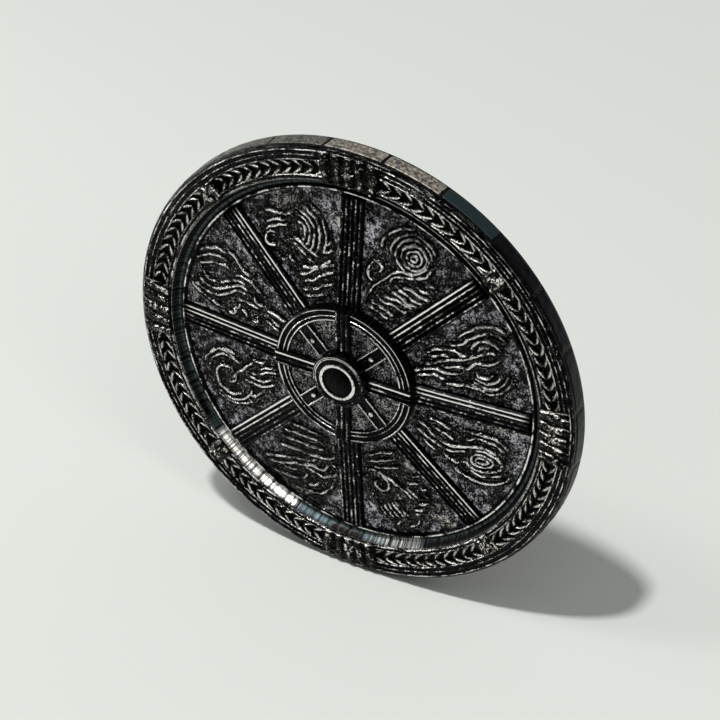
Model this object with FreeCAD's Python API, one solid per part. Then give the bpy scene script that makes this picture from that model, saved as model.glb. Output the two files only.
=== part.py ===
"""Round embossed shield: wooden core, cast and embossed metal facing, arm straps and hanging rings at the back.

Millimetres. The disc's axis is Y: the face looks to -Y and the wearer stands at +Y. +Z is up. The origin lies on
the axis, at the crown of the forearm pad, level with the back edge of the rim. Every piece is first made lying
down, with its face along local +Z and its top along local +Y, and is then stood up.
"""
import FreeCAD, Part
import math
import os
from FreeCAD import Vector

# Driving sizes of the whole shield
shield_radius = 300.0
spoke_count = 8
sheet_thickness = 1.2
fit_gap = 0.1
loose_gap = 0.3
cut_overrun = 5.0

# Rim, from the outside inwards
edge_plate_thickness = 1.2
edge_chord_count = 3
edge_plate_height = 20.0
edge_plate_inset = 1.5
edge_plate_count = 24
edge_plate_space = 2.2
rim_depth = 27.4
bead_height = 2.2
bead_roll_width = 16.6
band_width = 18.0
band_sinking = 1.6
band_wall = 1.2
lip_width = 6.0
lip_height = 1.8
step_width = 6.6
step_depth = 9.6

# Field between rim and hub
groove_width = 3.0
bead_ring_width = 8.0
bead_ring_height = 3.2
bead_ring_lap = 2.0
panel_lap = 3.0
field_rise = 12.3
hub_radius = 93.0

# Fluted ribs on the field
rib_width = 31.0
rib_height = 7.0
rib_ridges = 5
flute_depth = 2.2
rib_end_space = 0.6

# Embossed scrolls on the panels
scroll_height = 4.4
scroll_sinking = 0.6
scroll_width = 7.0
panel_chord_count = 3

# Hub: inner ring, plate, short ribs, studs and boss
hub_ring_width = 16.5
hub_ring_height = 15.0
hub_block_inset = 4.0
hub_floor_drop = 3.4
hub_rib_width = 21.0
hub_rib_height = 6.6
hub_rib_flutes = 3
hub_flute_depth = 1.6
hub_strap_width = 18.0
hub_strap_height = 4.6
hub_strap_lip = 2.4
hub_strap_lip_height = 1.4
stud_radius = 4.4
stud_height = 3.4
boss_radius = 36.0
boss_height = 15.3
boss_shoulder = 1.2
boss_ring_outer = 25.5
boss_ring_inner = 19.5
boss_ring_rise = 2.4
boss_dome_rise = 2.0

# Laurel in the rim band and binding plaques over its joints
leaf_pairs = 8
laurel_side_gap = 0.6
laurel_leaf_reach = 6.4
laurel_leaf_high = 3.0
laurel_leaf_low = 0.8
laurel_tip_high = 1.6
plaque_spread = 27.0
plaque_spread_large = 76.0
plaque_chord_count = 1
plaque_chord_count_large = 3
plaque_thickness = 1.4
plaque_turns = 2
plaque_turns_large = 4
plaque_bar_width = 4.2
plaque_bar_height = 2.2
plaque_button_radius = 6.4
plaque_button_height = 4.2
plaque_gap = 0.4

# Wooden core
board_recess = 10.0
board_gap = 0.5

# Back: lining and forearm pad
lining_thickness = 1.5
pad_length = 200.0
pad_height = 104.0
pad_offset = 34.0
pad_corner = 38.0
pad_side_draw = 3.0
pad_shoulder_draw = 7.0
pad_crown_draw = 18.0
pad_channel_count = 3
pad_channel_width = 3.0
pad_channel_depth = 1.0

# Forearm strap and its buckle
strap_thickness = 3.0
strap_width = 34.0
strap_place = 76.0
loop_half_height = 60.0
loop_clear = 66.0
loop_corner = 24.0
foot_length = 26.0
foot_corner = 8.0
buckle_bar_radius = 2.0
buckle_bar_clearance = 0.06
eye_flats = 5
buckle_place = 4.0
buckle_reach = 24.0
buckle_bar_thickness = 3.6
buckle_bar_width = 4.4
buckle_side_width = 4.0
buckle_side_gap = 1.6
prong_width = 3.6
prong_thickness = 2.6
prong_slot_gap = 0.8
tail_length = 47.0
fold_length = 18.0
keeper_width = 8.0
keeper_wall = 1.6

# Hand strap and its grip
hand_place = -108.0
hand_strap_width = 18.0
hand_half_height = 66.0
hand_clear = 32.0
hand_corner = 22.0
grip_radius = 14.0
grip_waist = 11.5
grip_length = 74.0
grip_slot_gap = 0.15
grip_sides = 12

# Forged nails of the straps
nail_head_radius = 5.0
nail_head_height = 2.6
nail_head_sides = 6
nail_shank = 3.0
nail_length = 8.0
nail_spacing = 14.0

# Hanging rings and their staples
ring_place_x = 128.0
ring_place_z = 128.0
ring_radius = 19.0
ring_bar_radius = 2.5
ring_flats = 20
ring_bar_sides = 6
staple_plate = 30.0
staple_plate_thickness = 2.0
staple_lug_thickness = 4.4
staple_lug_radius = 7.0
staple_eye_gap = 0.6
staple_stand_off = 8.0

# Shares of the sizes above
scroll_end_width_share = 0.6
scroll_end_height_share = 0.6
button_waist_share = 0.5
button_top_share = 0.55
ridge_of_pitch_shares = (0.3, 0.7)
pad_corner_shares = (0.62, 0.24)
pad_level_shares = (0.0, 0.35, 0.8, 1.0)
nail_step_shares = (-0.5, 0.5)
prong_wall_share = 0.6
fold_share = 1.5
frame_corner_share = 0.9

# Main ridges of the scrollwork, panel by panel: each corner's share of the way from the hub to the rim,
# and its share of the panel's half width there
ridge_line_shares = (
    (
        ((0.01, -0.18), (0.21, -0.14), (0.32, -0.27), (0.46, -0.24)),
        ((0.17, 0.56), (0.39, 0.40), (0.49, 0.18), (0.57, 0.14)),
        ((0.13, 0.14), (0.37, 0.11), (0.63, 0.08), (0.82, 0.04)),
        ((0.41, 0.54), (0.64, 0.48), (0.78, 0.50), (0.93, 0.24)),
        ((0.24, -0.61), (0.50, -0.65), (0.61, -0.77), (0.87, -0.49)),
        ((0.53, -0.24), (0.59, -0.47), (0.70, -0.49), (0.79, -0.33)),
    ),
    (
        ((0.10, 0.69), (0.08, 0.04), (0.10, -0.62)),
        ((0.19, 0.67), (0.39, 0.29), (0.55, -0.02), (0.65, -0.34), (0.83, -0.35)),
        ((0.21, 0.29), (0.23, -0.34), (0.26, -0.85)), ((0.30, 0.08), (0.31, -0.50), (0.32, -0.83)),
        ((0.39, -0.09), (0.40, -0.48), (0.41, -0.90)),
        ((0.82, -0.10), (0.78, 0.05), (0.70, 0.05), (0.65, -0.11), (0.71, -0.23)),
        ((0.94, -0.13), (0.89, 0.19), (0.76, 0.34)),
    ),
    (
        ((0.09, 0.81), (0.07, 0.15), (0.08, -0.60)), ((0.16, 0.70), (0.14, 0.00), (0.17, -0.87)),
        ((0.25, 0.59), (0.25, 0.00), (0.28, -0.85)), ((0.37, -0.29), (0.48, 0.00), (0.61, 0.26)),
        ((0.53, -0.07), (0.59, -0.23), (0.70, -0.22), (0.80, -0.06)),
        ((0.49, -0.49), (0.65, -0.51), (0.84, -0.28)), ((0.67, 0.84), (0.71, 0.47), (0.70, 0.17)),
        ((0.86, 0.60), (0.81, 0.34), (0.82, 0.03)),
    ),
    (
        ((0.02, 0.52), (0.21, 0.35)), ((0.01, -0.18), (0.23, -0.08)),
        ((0.37, 0.07), (0.54, 0.17), (0.68, 0.56), (0.92, 0.51)),
        ((0.42, -0.17), (0.59, -0.02), (0.74, 0.38), (0.91, 0.31)),
        ((0.65, -0.25), (0.78, -0.16), (0.95, 0.15)), ((0.72, -0.43), (0.89, -0.24), (1.01, 0.02)),
        ((0.25, -0.38), (0.45, -0.45), (0.59, -0.32)),
    ),
    (
       
        ((0.72, 0.11), (0.66, 0.20), (0.59, 0.12), (0.59, -0.14), (0.70, -0.25), (0.80, -0.09), (0.81, 0.17)),
        ((0.46, 0.46), (0.61, 0.60), (0.78, 0.45), (0.87, 0.22)),
        ((0.16, 0.35), (0.32, 0.36), (0.50, 0.08)), ((0.07, -0.12), (0.21, -0.17), (0.39, -0.04)),
        ((0.32, -0.46), (0.52, -0.17)), ((0.50, -0.42), (0.57, -0.61), (0.68, -0.61), (0.81, -0.44)),
    ),
    (
        ((0.16, 0.45), (0.19, -0.06), (0.26, -0.85)), ((0.25, 0.51), (0.31, -0.20), (0.38, -0.88)),
        ((0.27, 0.90), (0.41, 0.52), (0.50, -0.08), (0.59, -0.74)),
        ((0.41, 0.88), (0.54, 0.50), (0.59, 0.07)), ((0.52, 0.30), (0.65, -0.23), (0.83, -0.67)),
        ((0.68, 0.18), (0.83, 0.00), (0.92, -0.47)), ((0.59, 0.83), (0.82, 0.51), (0.90, 0.25)),
    ),
    (
        ((0.16, 0.70), (0.15, 0.00), (0.17, -0.84)), ((0.23, 0.53), (0.23, -0.78)),
        ((0.32, -0.83), (0.39, -0.20), (0.51, 0.11), (0.65, 0.33)),
        ((0.41, -0.56), (0.46, -0.65), (0.52, -0.49), (0.52, -0.27)), ((0.48, 0.71), (0.47, 0.32)),
        ((0.70, 0.60), (0.71, 0.28)), ((0.65, -0.25), (0.83, -0.08)), ((0.67, -0.47), (0.84, -0.28)),
        ((0.85, 0.22), (0.93, -0.10)),
    ),
    (
        ((0.03, 0.04), (0.24, -0.11), (0.39, -0.13), (0.56, 0.22), (0.80, 0.32)),
        ((0.12, 0.49), (0.39, 0.37)),
        ((0.78, 0.10), (0.69, 0.13), (0.60, -0.05), (0.69, -0.11), (0.77, -0.03)),
        ((0.06, -0.39), (0.35, -0.37)), ((0.39, -0.49), (0.59, -0.33), (0.79, -0.23), (0.91, 0.00)),
        ((0.49, -0.63), (0.74, -0.50), (0.96, -0.03)), ((0.43, 0.54), (0.59, 0.65), (0.86, 0.52)),
    ),
)

# Places that follow from the sizes above
half_pitch = 180.0 / spoke_count
shell_radius = shield_radius - edge_plate_thickness
beads_inner = shell_radius - bead_roll_width
band_outer = beads_inner - band_wall
band_inner = band_outer - band_width
lip_inner = band_inner - band_wall - lip_width
step_foot = lip_inner - step_width
bead_ring_outer = step_foot - groove_width
bead_ring_inner = bead_ring_outer - bead_ring_width
panel_outer = bead_ring_inner + panel_lap
field_outer = bead_ring_inner
field_width = field_outer - hub_radius
board_radius = lip_inner - fit_gap
band_floor = rim_depth - band_sinking
step_bottom = rim_depth - step_depth
board_edge_front = step_bottom - sheet_thickness
field_corner = math.cos(math.pi / spoke_count)
field_apothem = field_outer * field_corner
field_slope = field_rise / (field_apothem - hub_radius * field_corner)
board_hub_front = board_edge_front + field_rise
hub_foot = board_hub_front + sheet_thickness
hub_top = hub_foot + hub_ring_height
hub_hole = hub_radius - hub_ring_width
hub_floor = hub_top - hub_floor_drop
block_apothem = (hub_radius - hub_block_inset) * field_corner
boss_top = hub_floor + boss_height
lining_back = board_recess - lining_thickness
foot_level = lining_back - strap_thickness / 2
run_level = -(loop_clear + strap_thickness / 2)
eye_radius = buckle_bar_radius + buckle_bar_clearance + strap_thickness
bar_level = run_level + strap_thickness / 2 - eye_radius
over_level = bar_level - eye_radius - strap_thickness / 2 - loose_gap
tail_level = run_level - fold_share * strap_thickness - loose_gap
frame_front = buckle_place - buckle_reach
grip_level = -(hand_clear + grip_radius)
ring_level = lining_back - staple_stand_off
ring_eye_radius = ring_bar_radius + staple_eye_gap


def board_front(along):
    """Height of one flat of the wooden field at a distance along its middle line."""
    return board_edge_front + (field_apothem - along) * field_slope


def board_hip(radius):
    """Height of the ridge between two flats of the wooden field, under a spoke."""
    return board_front(radius * field_corner)


def panel_front(along):
    """Height of a panel's sheet at a distance along its middle line."""
    return board_front(along) + sheet_thickness


def stand_up(shape):
    """Turns a piece from lying on its back to upright, face to -Y."""
    turned = shape.copy()
    turned.rotate(Vector(0, 0, 0), Vector(1, 0, 0), 90)
    return turned


def turned_about_axis(shape, degrees):
    """A copy of a piece turned about the shield's axis."""
    copy = shape.copy()
    copy.rotate(Vector(0, 0, 0), Vector(0, 0, 1), degrees)
    return copy


def turned_ring(section, degrees=360.0, start=0.0):
    """Turns a section of (radius, height) points about the axis."""
    points = [Vector(r, 0, z) for r, z in section]
    face = Part.Face(Part.makePolygon(points + points[:1]))
    ring = face.revolve(Vector(0, 0, 0), Vector(0, 0, 1), degrees)
    return turned_about_axis(ring, start)


def block(x0, x1, y0, y1, z0, z1):
    """A block between two corners."""
    return Part.makeBox(x1 - x0, y1 - y0, z1 - z0, Vector(x0, y0, z0))


def closed_solid(faces):
    """One solid from lists of corner points, a list for each flat face."""
    shell = Part.makeShell([Part.Face(Part.makePolygon(list(f) + [f[0]])) for f in faces])
    solid = Part.makeSolid(shell)
    if solid.Volume < 0:
        solid.reverse()
    return solid


def write(node, shape):
    """Stands a piece up and writes its file."""
    os.makedirs("parts", exist_ok=True)
    stand_up(shape).exportStep("parts/" + node + ".step")


# Wooden core

def octagon(apothem, height):
    """Corners of a polygon with a corner under each spoke."""
    radius = apothem / field_corner
    angles = [2 * math.pi * i / spoke_count for i in range(spoke_count)]
    return [Vector(radius * math.cos(a), radius * math.sin(a), height) for a in angles]


def core_board():
    """Board with a flat back, eight sloping flats in front and a raised block under the hub."""
    edge = octagon(board_radius, board_front(board_radius))
    inner = octagon(block_apothem, board_front(block_apothem))
    slope = prism_between(octagon(board_radius, board_recess), edge)
    slope = slope.fuse(prism_between(edge, inner))
    block_top = octagon(block_apothem, hub_floor - sheet_thickness)
    slope = slope.fuse(prism_between(inner, block_top)).removeSplitter()
    round_bar = Part.makeCylinder(board_radius, hub_top, Vector(0, 0, 0))
    return slope.common(round_bar)


def rim_hoop():
    """Bent wooden hoop that fills the rim and shows as its back edge."""
    outer = shell_radius - sheet_thickness - fit_gap
    top = band_floor - sheet_thickness - fit_gap
    return turned_ring([(lip_inner, 0), (outer, 0), (outer, top), (lip_inner, top)])


# Rim facing

def rim_shell():
    """Spun rim facing: outer wall, edge roll, sunk band and inner lip."""
    return turned_ring([
        (shell_radius - sheet_thickness, 0),
        (shell_radius, 0),
        (shell_radius, rim_depth),
        (beads_inner, rim_depth + bead_height),
        (band_outer, band_floor),
        (band_inner, band_floor),
        (band_inner - band_wall, rim_depth + lip_height),
        (lip_inner, rim_depth),
        (lip_inner, band_floor - sheet_thickness),
        (shell_radius - sheet_thickness, band_floor - sheet_thickness),
    ])


def step_ring():
    """Polished ring that slopes down from the lip, with a flange under the bead ring."""
    flange_inner = bead_ring_outer - bead_ring_lap
    return turned_ring([
        (flange_inner, board_edge_front),
        (step_foot, board_edge_front),
        (lip_inner - fit_gap, rim_depth - sheet_thickness),
        (lip_inner - fit_gap, rim_depth),
        (step_foot, step_bottom),
        (flange_inner, step_bottom),
    ])


def bead_ring():
    """Keeled ring over the outer ends of the panels and the flange of the step."""
    return turned_ring([
        (bead_ring_inner, step_bottom),
        (bead_ring_outer, step_bottom),
        ((bead_ring_inner + bead_ring_outer) / 2, step_bottom + bead_ring_height),
    ])


def arc_corners(radius, half_angle, count):
    """Corners, as (x, y), of a row of chords along an arc about local X."""
    turns = [half_angle * (2 * i / count - 1) for i in range(count + 1)]
    return [(radius * math.cos(t), radius * math.sin(t)) for t in turns]


def outside(radius, half_angle, count):
    """Radius for the corners of chords that lie outside an arc and touch it."""
    return radius / math.cos(half_angle / count)


def edge_plates():
    """Plates bent to the rim and nailed end to end round its outer wall."""
    half = math.pi / edge_plate_count - edge_plate_space / shield_radius / 2
    inner = outside(shell_radius, half, edge_chord_count)
    corners = arc_corners(shield_radius, half, edge_chord_count)
    corners += arc_corners(inner, half, edge_chord_count)[::-1]
    low = [Vector(x, y, edge_plate_inset) for x, y in corners]
    plate = prism_between(low, [p + Vector(0, 0, edge_plate_height) for p in low])
    pitch = 360.0 / edge_plate_count
    return Part.makeCompound([turned_about_axis(plate, pitch * i) for i in range(edge_plate_count)])


# Laurel and binding plaques

def plaque_half_angle(index):
    """Half the angle that a binding plaque covers, in degrees."""
    spread = plaque_spread_large if index % 2 == 0 else plaque_spread
    return math.degrees(spread / (band_outer + band_inner))


# The two flats at each end of a laurel, by the corners of its outline
laurel_end_halves = ((0, 1, 4, 5), (1, 2, 3, 4))


def laurel(index):
    """Length of laurel between two plaques: leaf pairs in a herringbone, each rising to lie over the next."""
    middle = (band_outer + band_inner) / 2
    gap = math.degrees(plaque_gap / middle)
    start = plaque_half_angle(index) + gap
    sweep = 2 * half_pitch - start - plaque_half_angle(index + 1) - gap
    lead = math.degrees(laurel_leaf_reach / middle)
    pitch = (sweep - lead) / leaf_pairs
    rings = []
    for i in range(leaf_pairs):
        rings.append(laurel_outline(start + pitch * i, lead, laurel_leaf_low, laurel_leaf_low))
        rings.append(laurel_outline(start + pitch * (i + 1), lead, laurel_leaf_high, laurel_tip_high))
    ends = [[rings[0][k] for k in half] for half in laurel_end_halves]
    ends += [[rings[-1][k] for k in half] for half in laurel_end_halves]
    return turned_about_axis(closed_solid(ends + skin(rings)), 2 * half_pitch * index)


def laurel_outline(angle, lead, middle_high, side_high):
    """Corners across the laurel at an angle: the two leaf tips lie further on than the middle."""
    places = [
        (band_inner + laurel_side_gap, angle + lead, side_high),
        ((band_inner + band_outer) / 2, angle, middle_high),
        (band_outer - laurel_side_gap, angle + lead, side_high),
    ]
    top = []
    for radius, degrees, high in places:
        turn = math.radians(degrees)
        top.append(Vector(radius * math.cos(turn), radius * math.sin(turn), band_floor + high))
    return top + [Vector(p.x, p.y, band_floor) for p in top[::-1]]


def skin(rings):
    """Triangles between neighbouring outlines of a row."""
    faces = []
    for here, there in zip(rings, rings[1:]):
        count = len(here)
        for k in range(count):
            m = (k + 1) % count
            for face in ([here[k], there[k], there[m]], [here[k], there[m], here[m]]):
                if (face[1] - face[0]).cross(face[2] - face[0]).Length:
                    faces.append(face)
    return faces


def plaque(index):
    """Binding plaque over a joint of the laurel: bent plate, turns of ribbon and a button."""
    large = index % 2 == 0
    chords = plaque_chord_count_large if large else plaque_chord_count
    outer = shell_radius - plaque_bar_width if large else beads_inner
    seat = rim_depth + bead_height
    top = seat + plaque_thickness
    reach = plaque_half_angle(index)
    body = bent_block(lip_inner, outer, reach, chords, seat, top)
    body = body.fuse(bent_block(band_inner + plaque_gap, band_outer - plaque_gap, reach, chords, band_floor, top))
    turns = plaque_turns_large if large else plaque_turns
    bar = ribbon_bar(outside(lip_inner, math.radians(reach), chords) + plaque_gap,
                     outer * math.cos(math.radians(reach) / chords) - plaque_gap, top)
    for i in range(turns):
        body = body.fuse(turned_about_axis(bar, reach * ((2 * i + 1) / turns - 1)))
    place = Vector((band_outer + band_inner) / 2, 0, top)
    body = body.fuse(button(plaque_button_radius, plaque_button_height, place, plaque_thickness / 2))
    return turned_about_axis(body.removeSplitter(), 2 * half_pitch * index)


def bent_block(inner, outer, half_angle, chords, low, high):
    """Block bent along the rim in flats, kept between two radii; the half angle is in degrees."""
    half = math.radians(half_angle)
    corners = arc_corners(outer, half, chords) + arc_corners(outside(inner, half, chords), half, chords)[::-1]
    base = [Vector(x, y, low) for x, y in corners]
    return prism_between(base, [p + Vector(0, 0, high - low) for p in base])


def ribbon_bar(inner, outer, seat):
    """Keeled bar that lies across the band, one turn of the binding ribbon."""
    half = plaque_bar_width / 2
    ends = [[Vector(r, -half, seat), Vector(r, half, seat), Vector(r, 0, seat + plaque_bar_height)]
            for r in (inner, outer)]
    return prism_between(ends[0], ends[1])


def prism_between(first, second):
    """Solid between two outlines with equal numbers of corners."""
    count = len(first)
    sides = [[first[i], first[(i + 1) % count], second[(i + 1) % count], second[i]] for i in range(count)]
    return closed_solid([first[::-1], second] + sides)


def button(radius, height, place, sunk, sides=6):
    """Faceted round button: a straight foot, sunk a little into its seat, and a drawn-in top."""
    ring = [Vector(math.cos(2 * math.pi * i / sides), math.sin(2 * math.pi * i / sides), 0) for i in range(sides)]
    foot = [p * radius + place + Vector(0, 0, -sunk) for p in ring]
    waist = [p * radius + place + Vector(0, 0, height * button_waist_share) for p in ring]
    top = [p * radius * button_top_share + place + Vector(0, 0, height) for p in ring]
    sides_low = [[foot[i], foot[(i + 1) % sides], waist[(i + 1) % sides], waist[i]] for i in range(sides)]
    sides_high = [[waist[i], waist[(i + 1) % sides], top[(i + 1) % sides], top[i]] for i in range(sides)]
    return closed_solid([foot[::-1], top] + sides_low + sides_high)


# Field panels with their scrolls

def ridge(path, widths, heights):
    """Keeled ridge along a path of (x, y) points, sunk a little into the panel."""
    left, right, crest = [], [], []
    for i, (x, y) in enumerate(path):
        x0, y0 = path[max(i - 1, 0)]
        x1, y1 = path[min(i + 1, len(path) - 1)]
        run = math.hypot(x1 - x0, y1 - y0)
        nx, ny = -(y1 - y0) / run, (x1 - x0) / run
        half = widths[i] / 2
        for side, points in ((1, left), (-1, right)):
            px, py = x + side * nx * half, y + side * ny * half
            points.append(Vector(px, py, panel_front(px) - scroll_sinking))
        crest.append(Vector(x, y, panel_front(x) + heights[i]))
    faces = []
    for i in range(len(path) - 1):
        j = i + 1
        faces += [[left[i], crest[i], crest[j]], [left[i], crest[j], left[j]]]
        faces += [[right[i], crest[j], crest[i]], [right[i], right[j], crest[j]]]
        faces.append([left[i], left[j], right[j], right[i]])
    faces.append([left[0], right[0], crest[0]])
    faces.append([left[-1], crest[-1], right[-1]])
    return closed_solid(faces)


def panel_half(along):
    """Half the width of a panel between its ribs at a distance along its middle line."""
    spoke = math.radians(half_pitch)
    return along * math.tan(spoke) - rib_width / 2 / math.cos(spoke)


def scroll(index):
    """The main ridges of a panel's scrollwork."""
    pieces = []
    for line in ridge_line_shares[index]:
        places = [hub_radius + field_width * along for along, _ in line]
        path = [(x, panel_half(x) * across) for x, (_, across) in zip(places, line)]
        inner = len(path) - 2
        widths = [scroll_end_width_share] + [1] * inner + [scroll_end_width_share]
        heights = [scroll_end_height_share] + [1] * inner + [scroll_end_height_share]
        pieces.append(ridge(path, [scroll_width * w for w in widths], [scroll_height * h for h in heights]))
    return pieces


def panel_sheet():
    """Plain sheet of one panel on its flat of the board, clear of the ribs at both sides."""
    side = rib_width / 2 + fit_gap
    near, far = hub_radius + fit_gap, panel_outer
    half_near = math.radians(half_pitch) - math.asin(side / near)
    half_far = math.radians(half_pitch) - math.asin(side / far)
    corners = arc_corners(far, half_far, panel_chord_count)
    corners += arc_corners(outside(near, half_near, panel_chord_count), half_near, panel_chord_count)[::-1]
    low = [Vector(x, y, board_front(x)) for x, y in corners]
    return prism_between(low, [p + Vector(0, 0, sheet_thickness) for p in low])


def field_panel(index):
    """Embossed sheet between two ribs."""
    return turned_about_axis(panel_sheet().fuse(scroll(index)), half_pitch * (2 * index + 1))


# Ribs

def fluted_outline(width, height, ridges, depth, foot=0.0):
    """Outline of a fluted bar across its width as (across, up) points; the foot may lie lower at both sides."""
    pitch = width / ridges
    points = [(-width / 2, foot), (-width / 2, height - depth)]
    for i in range(ridges):
        left = -width / 2 + pitch * i
        points += [(left + pitch * share, height) for share in ridge_of_pitch_shares]
        points.append((left + pitch, height - depth))
    points.append((width / 2, foot))
    return points + ([(0, 0)] if foot else [])


def rib(index):
    """Fluted rib that lies on the board from the hub to the bead ring."""
    inner = hub_radius + fit_gap
    outer = bead_ring_inner - rib_end_space
    foot = -field_slope * rib_width / 2 * math.sin(math.pi / spoke_count)
    outline = fluted_outline(rib_width, rib_height, rib_ridges, flute_depth, foot)
    ends = [[Vector(r, a, board_hip(r) + b) for a, b in outline] for r in (inner, outer)]
    return turned_about_axis(prism_between(ends[0], ends[1]), 2 * half_pitch * index)


# Hub

def inner_ring():
    """Raised ring round the hub: an outer wall and a flat top."""
    wall = hub_radius - sheet_thickness
    foot = board_hip(wall) + fit_gap
    return turned_ring([
        (hub_radius, foot),
        (hub_radius, hub_top),
        (hub_hole, hub_top),
        (hub_hole, hub_floor),
        (wall, hub_floor),
        (wall, foot),
    ])


def hub_plate():
    """Plate on the block of the board, its corners held under the ring."""
    return prism_between(octagon(block_apothem, hub_floor - sheet_thickness), octagon(block_apothem, hub_floor))


def hub_rib_ends(half):
    """Inner and outer end of a short rib on the hub plate, whose outer corners clear the ring's round hole."""
    return boss_radius + loose_gap, math.sqrt(hub_hole ** 2 - half ** 2) - loose_gap


def hub_rib(index):
    """Short fluted rib on the hub plate, in line with a main spoke, lapped over the ring."""
    inner, ring_inner = hub_rib_ends(hub_rib_width / 2)
    outline = fluted_outline(hub_rib_width, hub_rib_height, hub_rib_flutes, hub_flute_depth)
    inner_end = [Vector(inner, a, hub_floor + b) for a, b in outline]
    outer_end = [Vector(ring_inner, a, hub_floor + b) for a, b in outline]
    bar = prism_between(inner_end, outer_end)
    rise = hub_top - hub_floor
    lap_height = hub_rib_height - rise
    lap_outline = fluted_outline(hub_rib_width, lap_height, hub_rib_flutes, hub_flute_depth)
    lap = [[Vector(r, a, hub_top + b) for a, b in lap_outline] for r in (ring_inner, hub_radius)]
    return turned_about_axis(bar.fuse(prism_between(lap[0], lap[1])), 2 * half_pitch * index)


def hub_strap(index):
    """Short flat rib on the hub plate with a raised lip along each side and a hole for its stud."""
    half = hub_strap_width / 2
    inner, outer = hub_rib_ends(half)
    low = hub_floor + hub_strap_height - hub_strap_lip_height
    high = hub_floor + hub_strap_height
    bar = block(inner, outer, -half, half, hub_floor, high)
    bar = bar.cut(block(inner - cut_overrun, outer + cut_overrun, hub_strap_lip - half, half - hub_strap_lip,
                        low, high + cut_overrun))
    return turned_about_axis(bar, 2 * half_pitch * index)


def hub_studs():
    """A faceted stud on each flat hub rib."""
    inner, outer = hub_rib_ends(hub_strap_width / 2)
    seat = hub_floor + hub_strap_height - hub_strap_lip_height
    place = Vector((inner + outer) / 2, 0, seat)
    one = button(stud_radius, stud_height, place, 0)
    return Part.makeCompound([turned_about_axis(one, 2 * half_pitch * i) for i in range(1, spoke_count, 2)])


def boss_collar():
    """Heavy round collar of the boss with a bevelled shoulder."""
    section = [
        (0, hub_floor),
        (boss_radius, hub_floor),
        (boss_radius, boss_top - boss_shoulder),
        (boss_radius - boss_shoulder, boss_top),
        (0, boss_top),
    ]
    return turned_ring(section)


def boss_ring():
    """Bright ring on the collar."""
    top = boss_top + boss_ring_rise
    return turned_ring([
        (boss_ring_inner, boss_top),
        (boss_ring_outer, boss_top),
        (boss_ring_outer, top),
        (boss_ring_inner, top),
    ])


def boss_dome():
    """Round cap inside the boss ring."""
    radius = boss_ring_inner - fit_gap
    return Part.makeCylinder(radius, boss_dome_rise, Vector(0, 0, boss_top))


# Back: lining and pad

def nail_places():
    """Centres of the strap nails on the back of the board, as (x, y, top of what they hold)."""
    places = []
    for x, half in ((strap_place, loop_half_height), (hand_place, hand_half_height)):
        middle = half + foot_corner + (foot_length - foot_corner) / 2
        for side in (1, -1):
            places += [(x + nail_spacing * share, side * middle) for share in nail_step_shares]
    return places


def strap_nails():
    """Forged nails driven through the feet of both straps and the lining into the board."""
    half = nail_shank / 2
    top = lining_back - strap_thickness
    nails = []
    for x, y in nail_places():
        shank = block(x - half, x + half, y - half, y + half, top, top + nail_length)
        head = button(nail_head_radius, nail_head_height, Vector(x, -y, -top), 0, nail_head_sides)
        head.rotate(Vector(0, 0, 0), Vector(1, 0, 0), 180)
        nails.append(head.fuse(shank))
    return Part.makeCompound(nails)


def back_lining():
    """Leather lining over the back of the board."""
    return Part.makeCylinder(board_radius - board_gap, lining_thickness, Vector(0, 0, lining_back))


def pad_outline(draw, height):
    """Outline of the forearm pad with cut corners, drawn in by some amount, at a height."""
    x1, y1 = pad_length / 2 - draw, pad_height / 2 - draw
    long, short = [pad_corner * share for share in pad_corner_shares]
    corner = [(x1, y1 - pad_corner), (x1 - short, y1 - long), (x1 - long, y1 - short), (x1 - pad_corner, y1)]
    quarter = corner + [(-x, y) for x, y in corner[::-1]]
    outline = quarter + [(-x, -y) for x, y in quarter]
    return [Vector(x + pad_offset, y, height) for x, y in outline]


def arm_pad():
    """Stuffed pad for the forearm: drawn-in sides, a crown and sewn channels across it."""
    depth = lining_back
    draws = (pad_side_draw, 0, pad_shoulder_draw, pad_crown_draw)
    rings = [pad_outline(draw, depth * (1 - share)) for draw, share in zip(draws, pad_level_shares)]
    pad = closed_solid([rings[0][::-1], rings[-1]] + skin(rings))
    for i in range(pad_channel_count):
        x = pad_offset + pad_length * ((i + 1) / (pad_channel_count + 1) - 0.5)
        half = pad_channel_width / 2
        reach = pad_height / 2
        ends = [[Vector(x - half, y, -cut_overrun), Vector(x + half, y, -cut_overrun), Vector(x + half, y, 0),
                 Vector(x, y, pad_channel_depth), Vector(x - half, y, 0)] for y in (-reach, reach)]
        pad = pad.cut(prism_between(ends[0], ends[1]))
    return pad


# Straps

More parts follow.
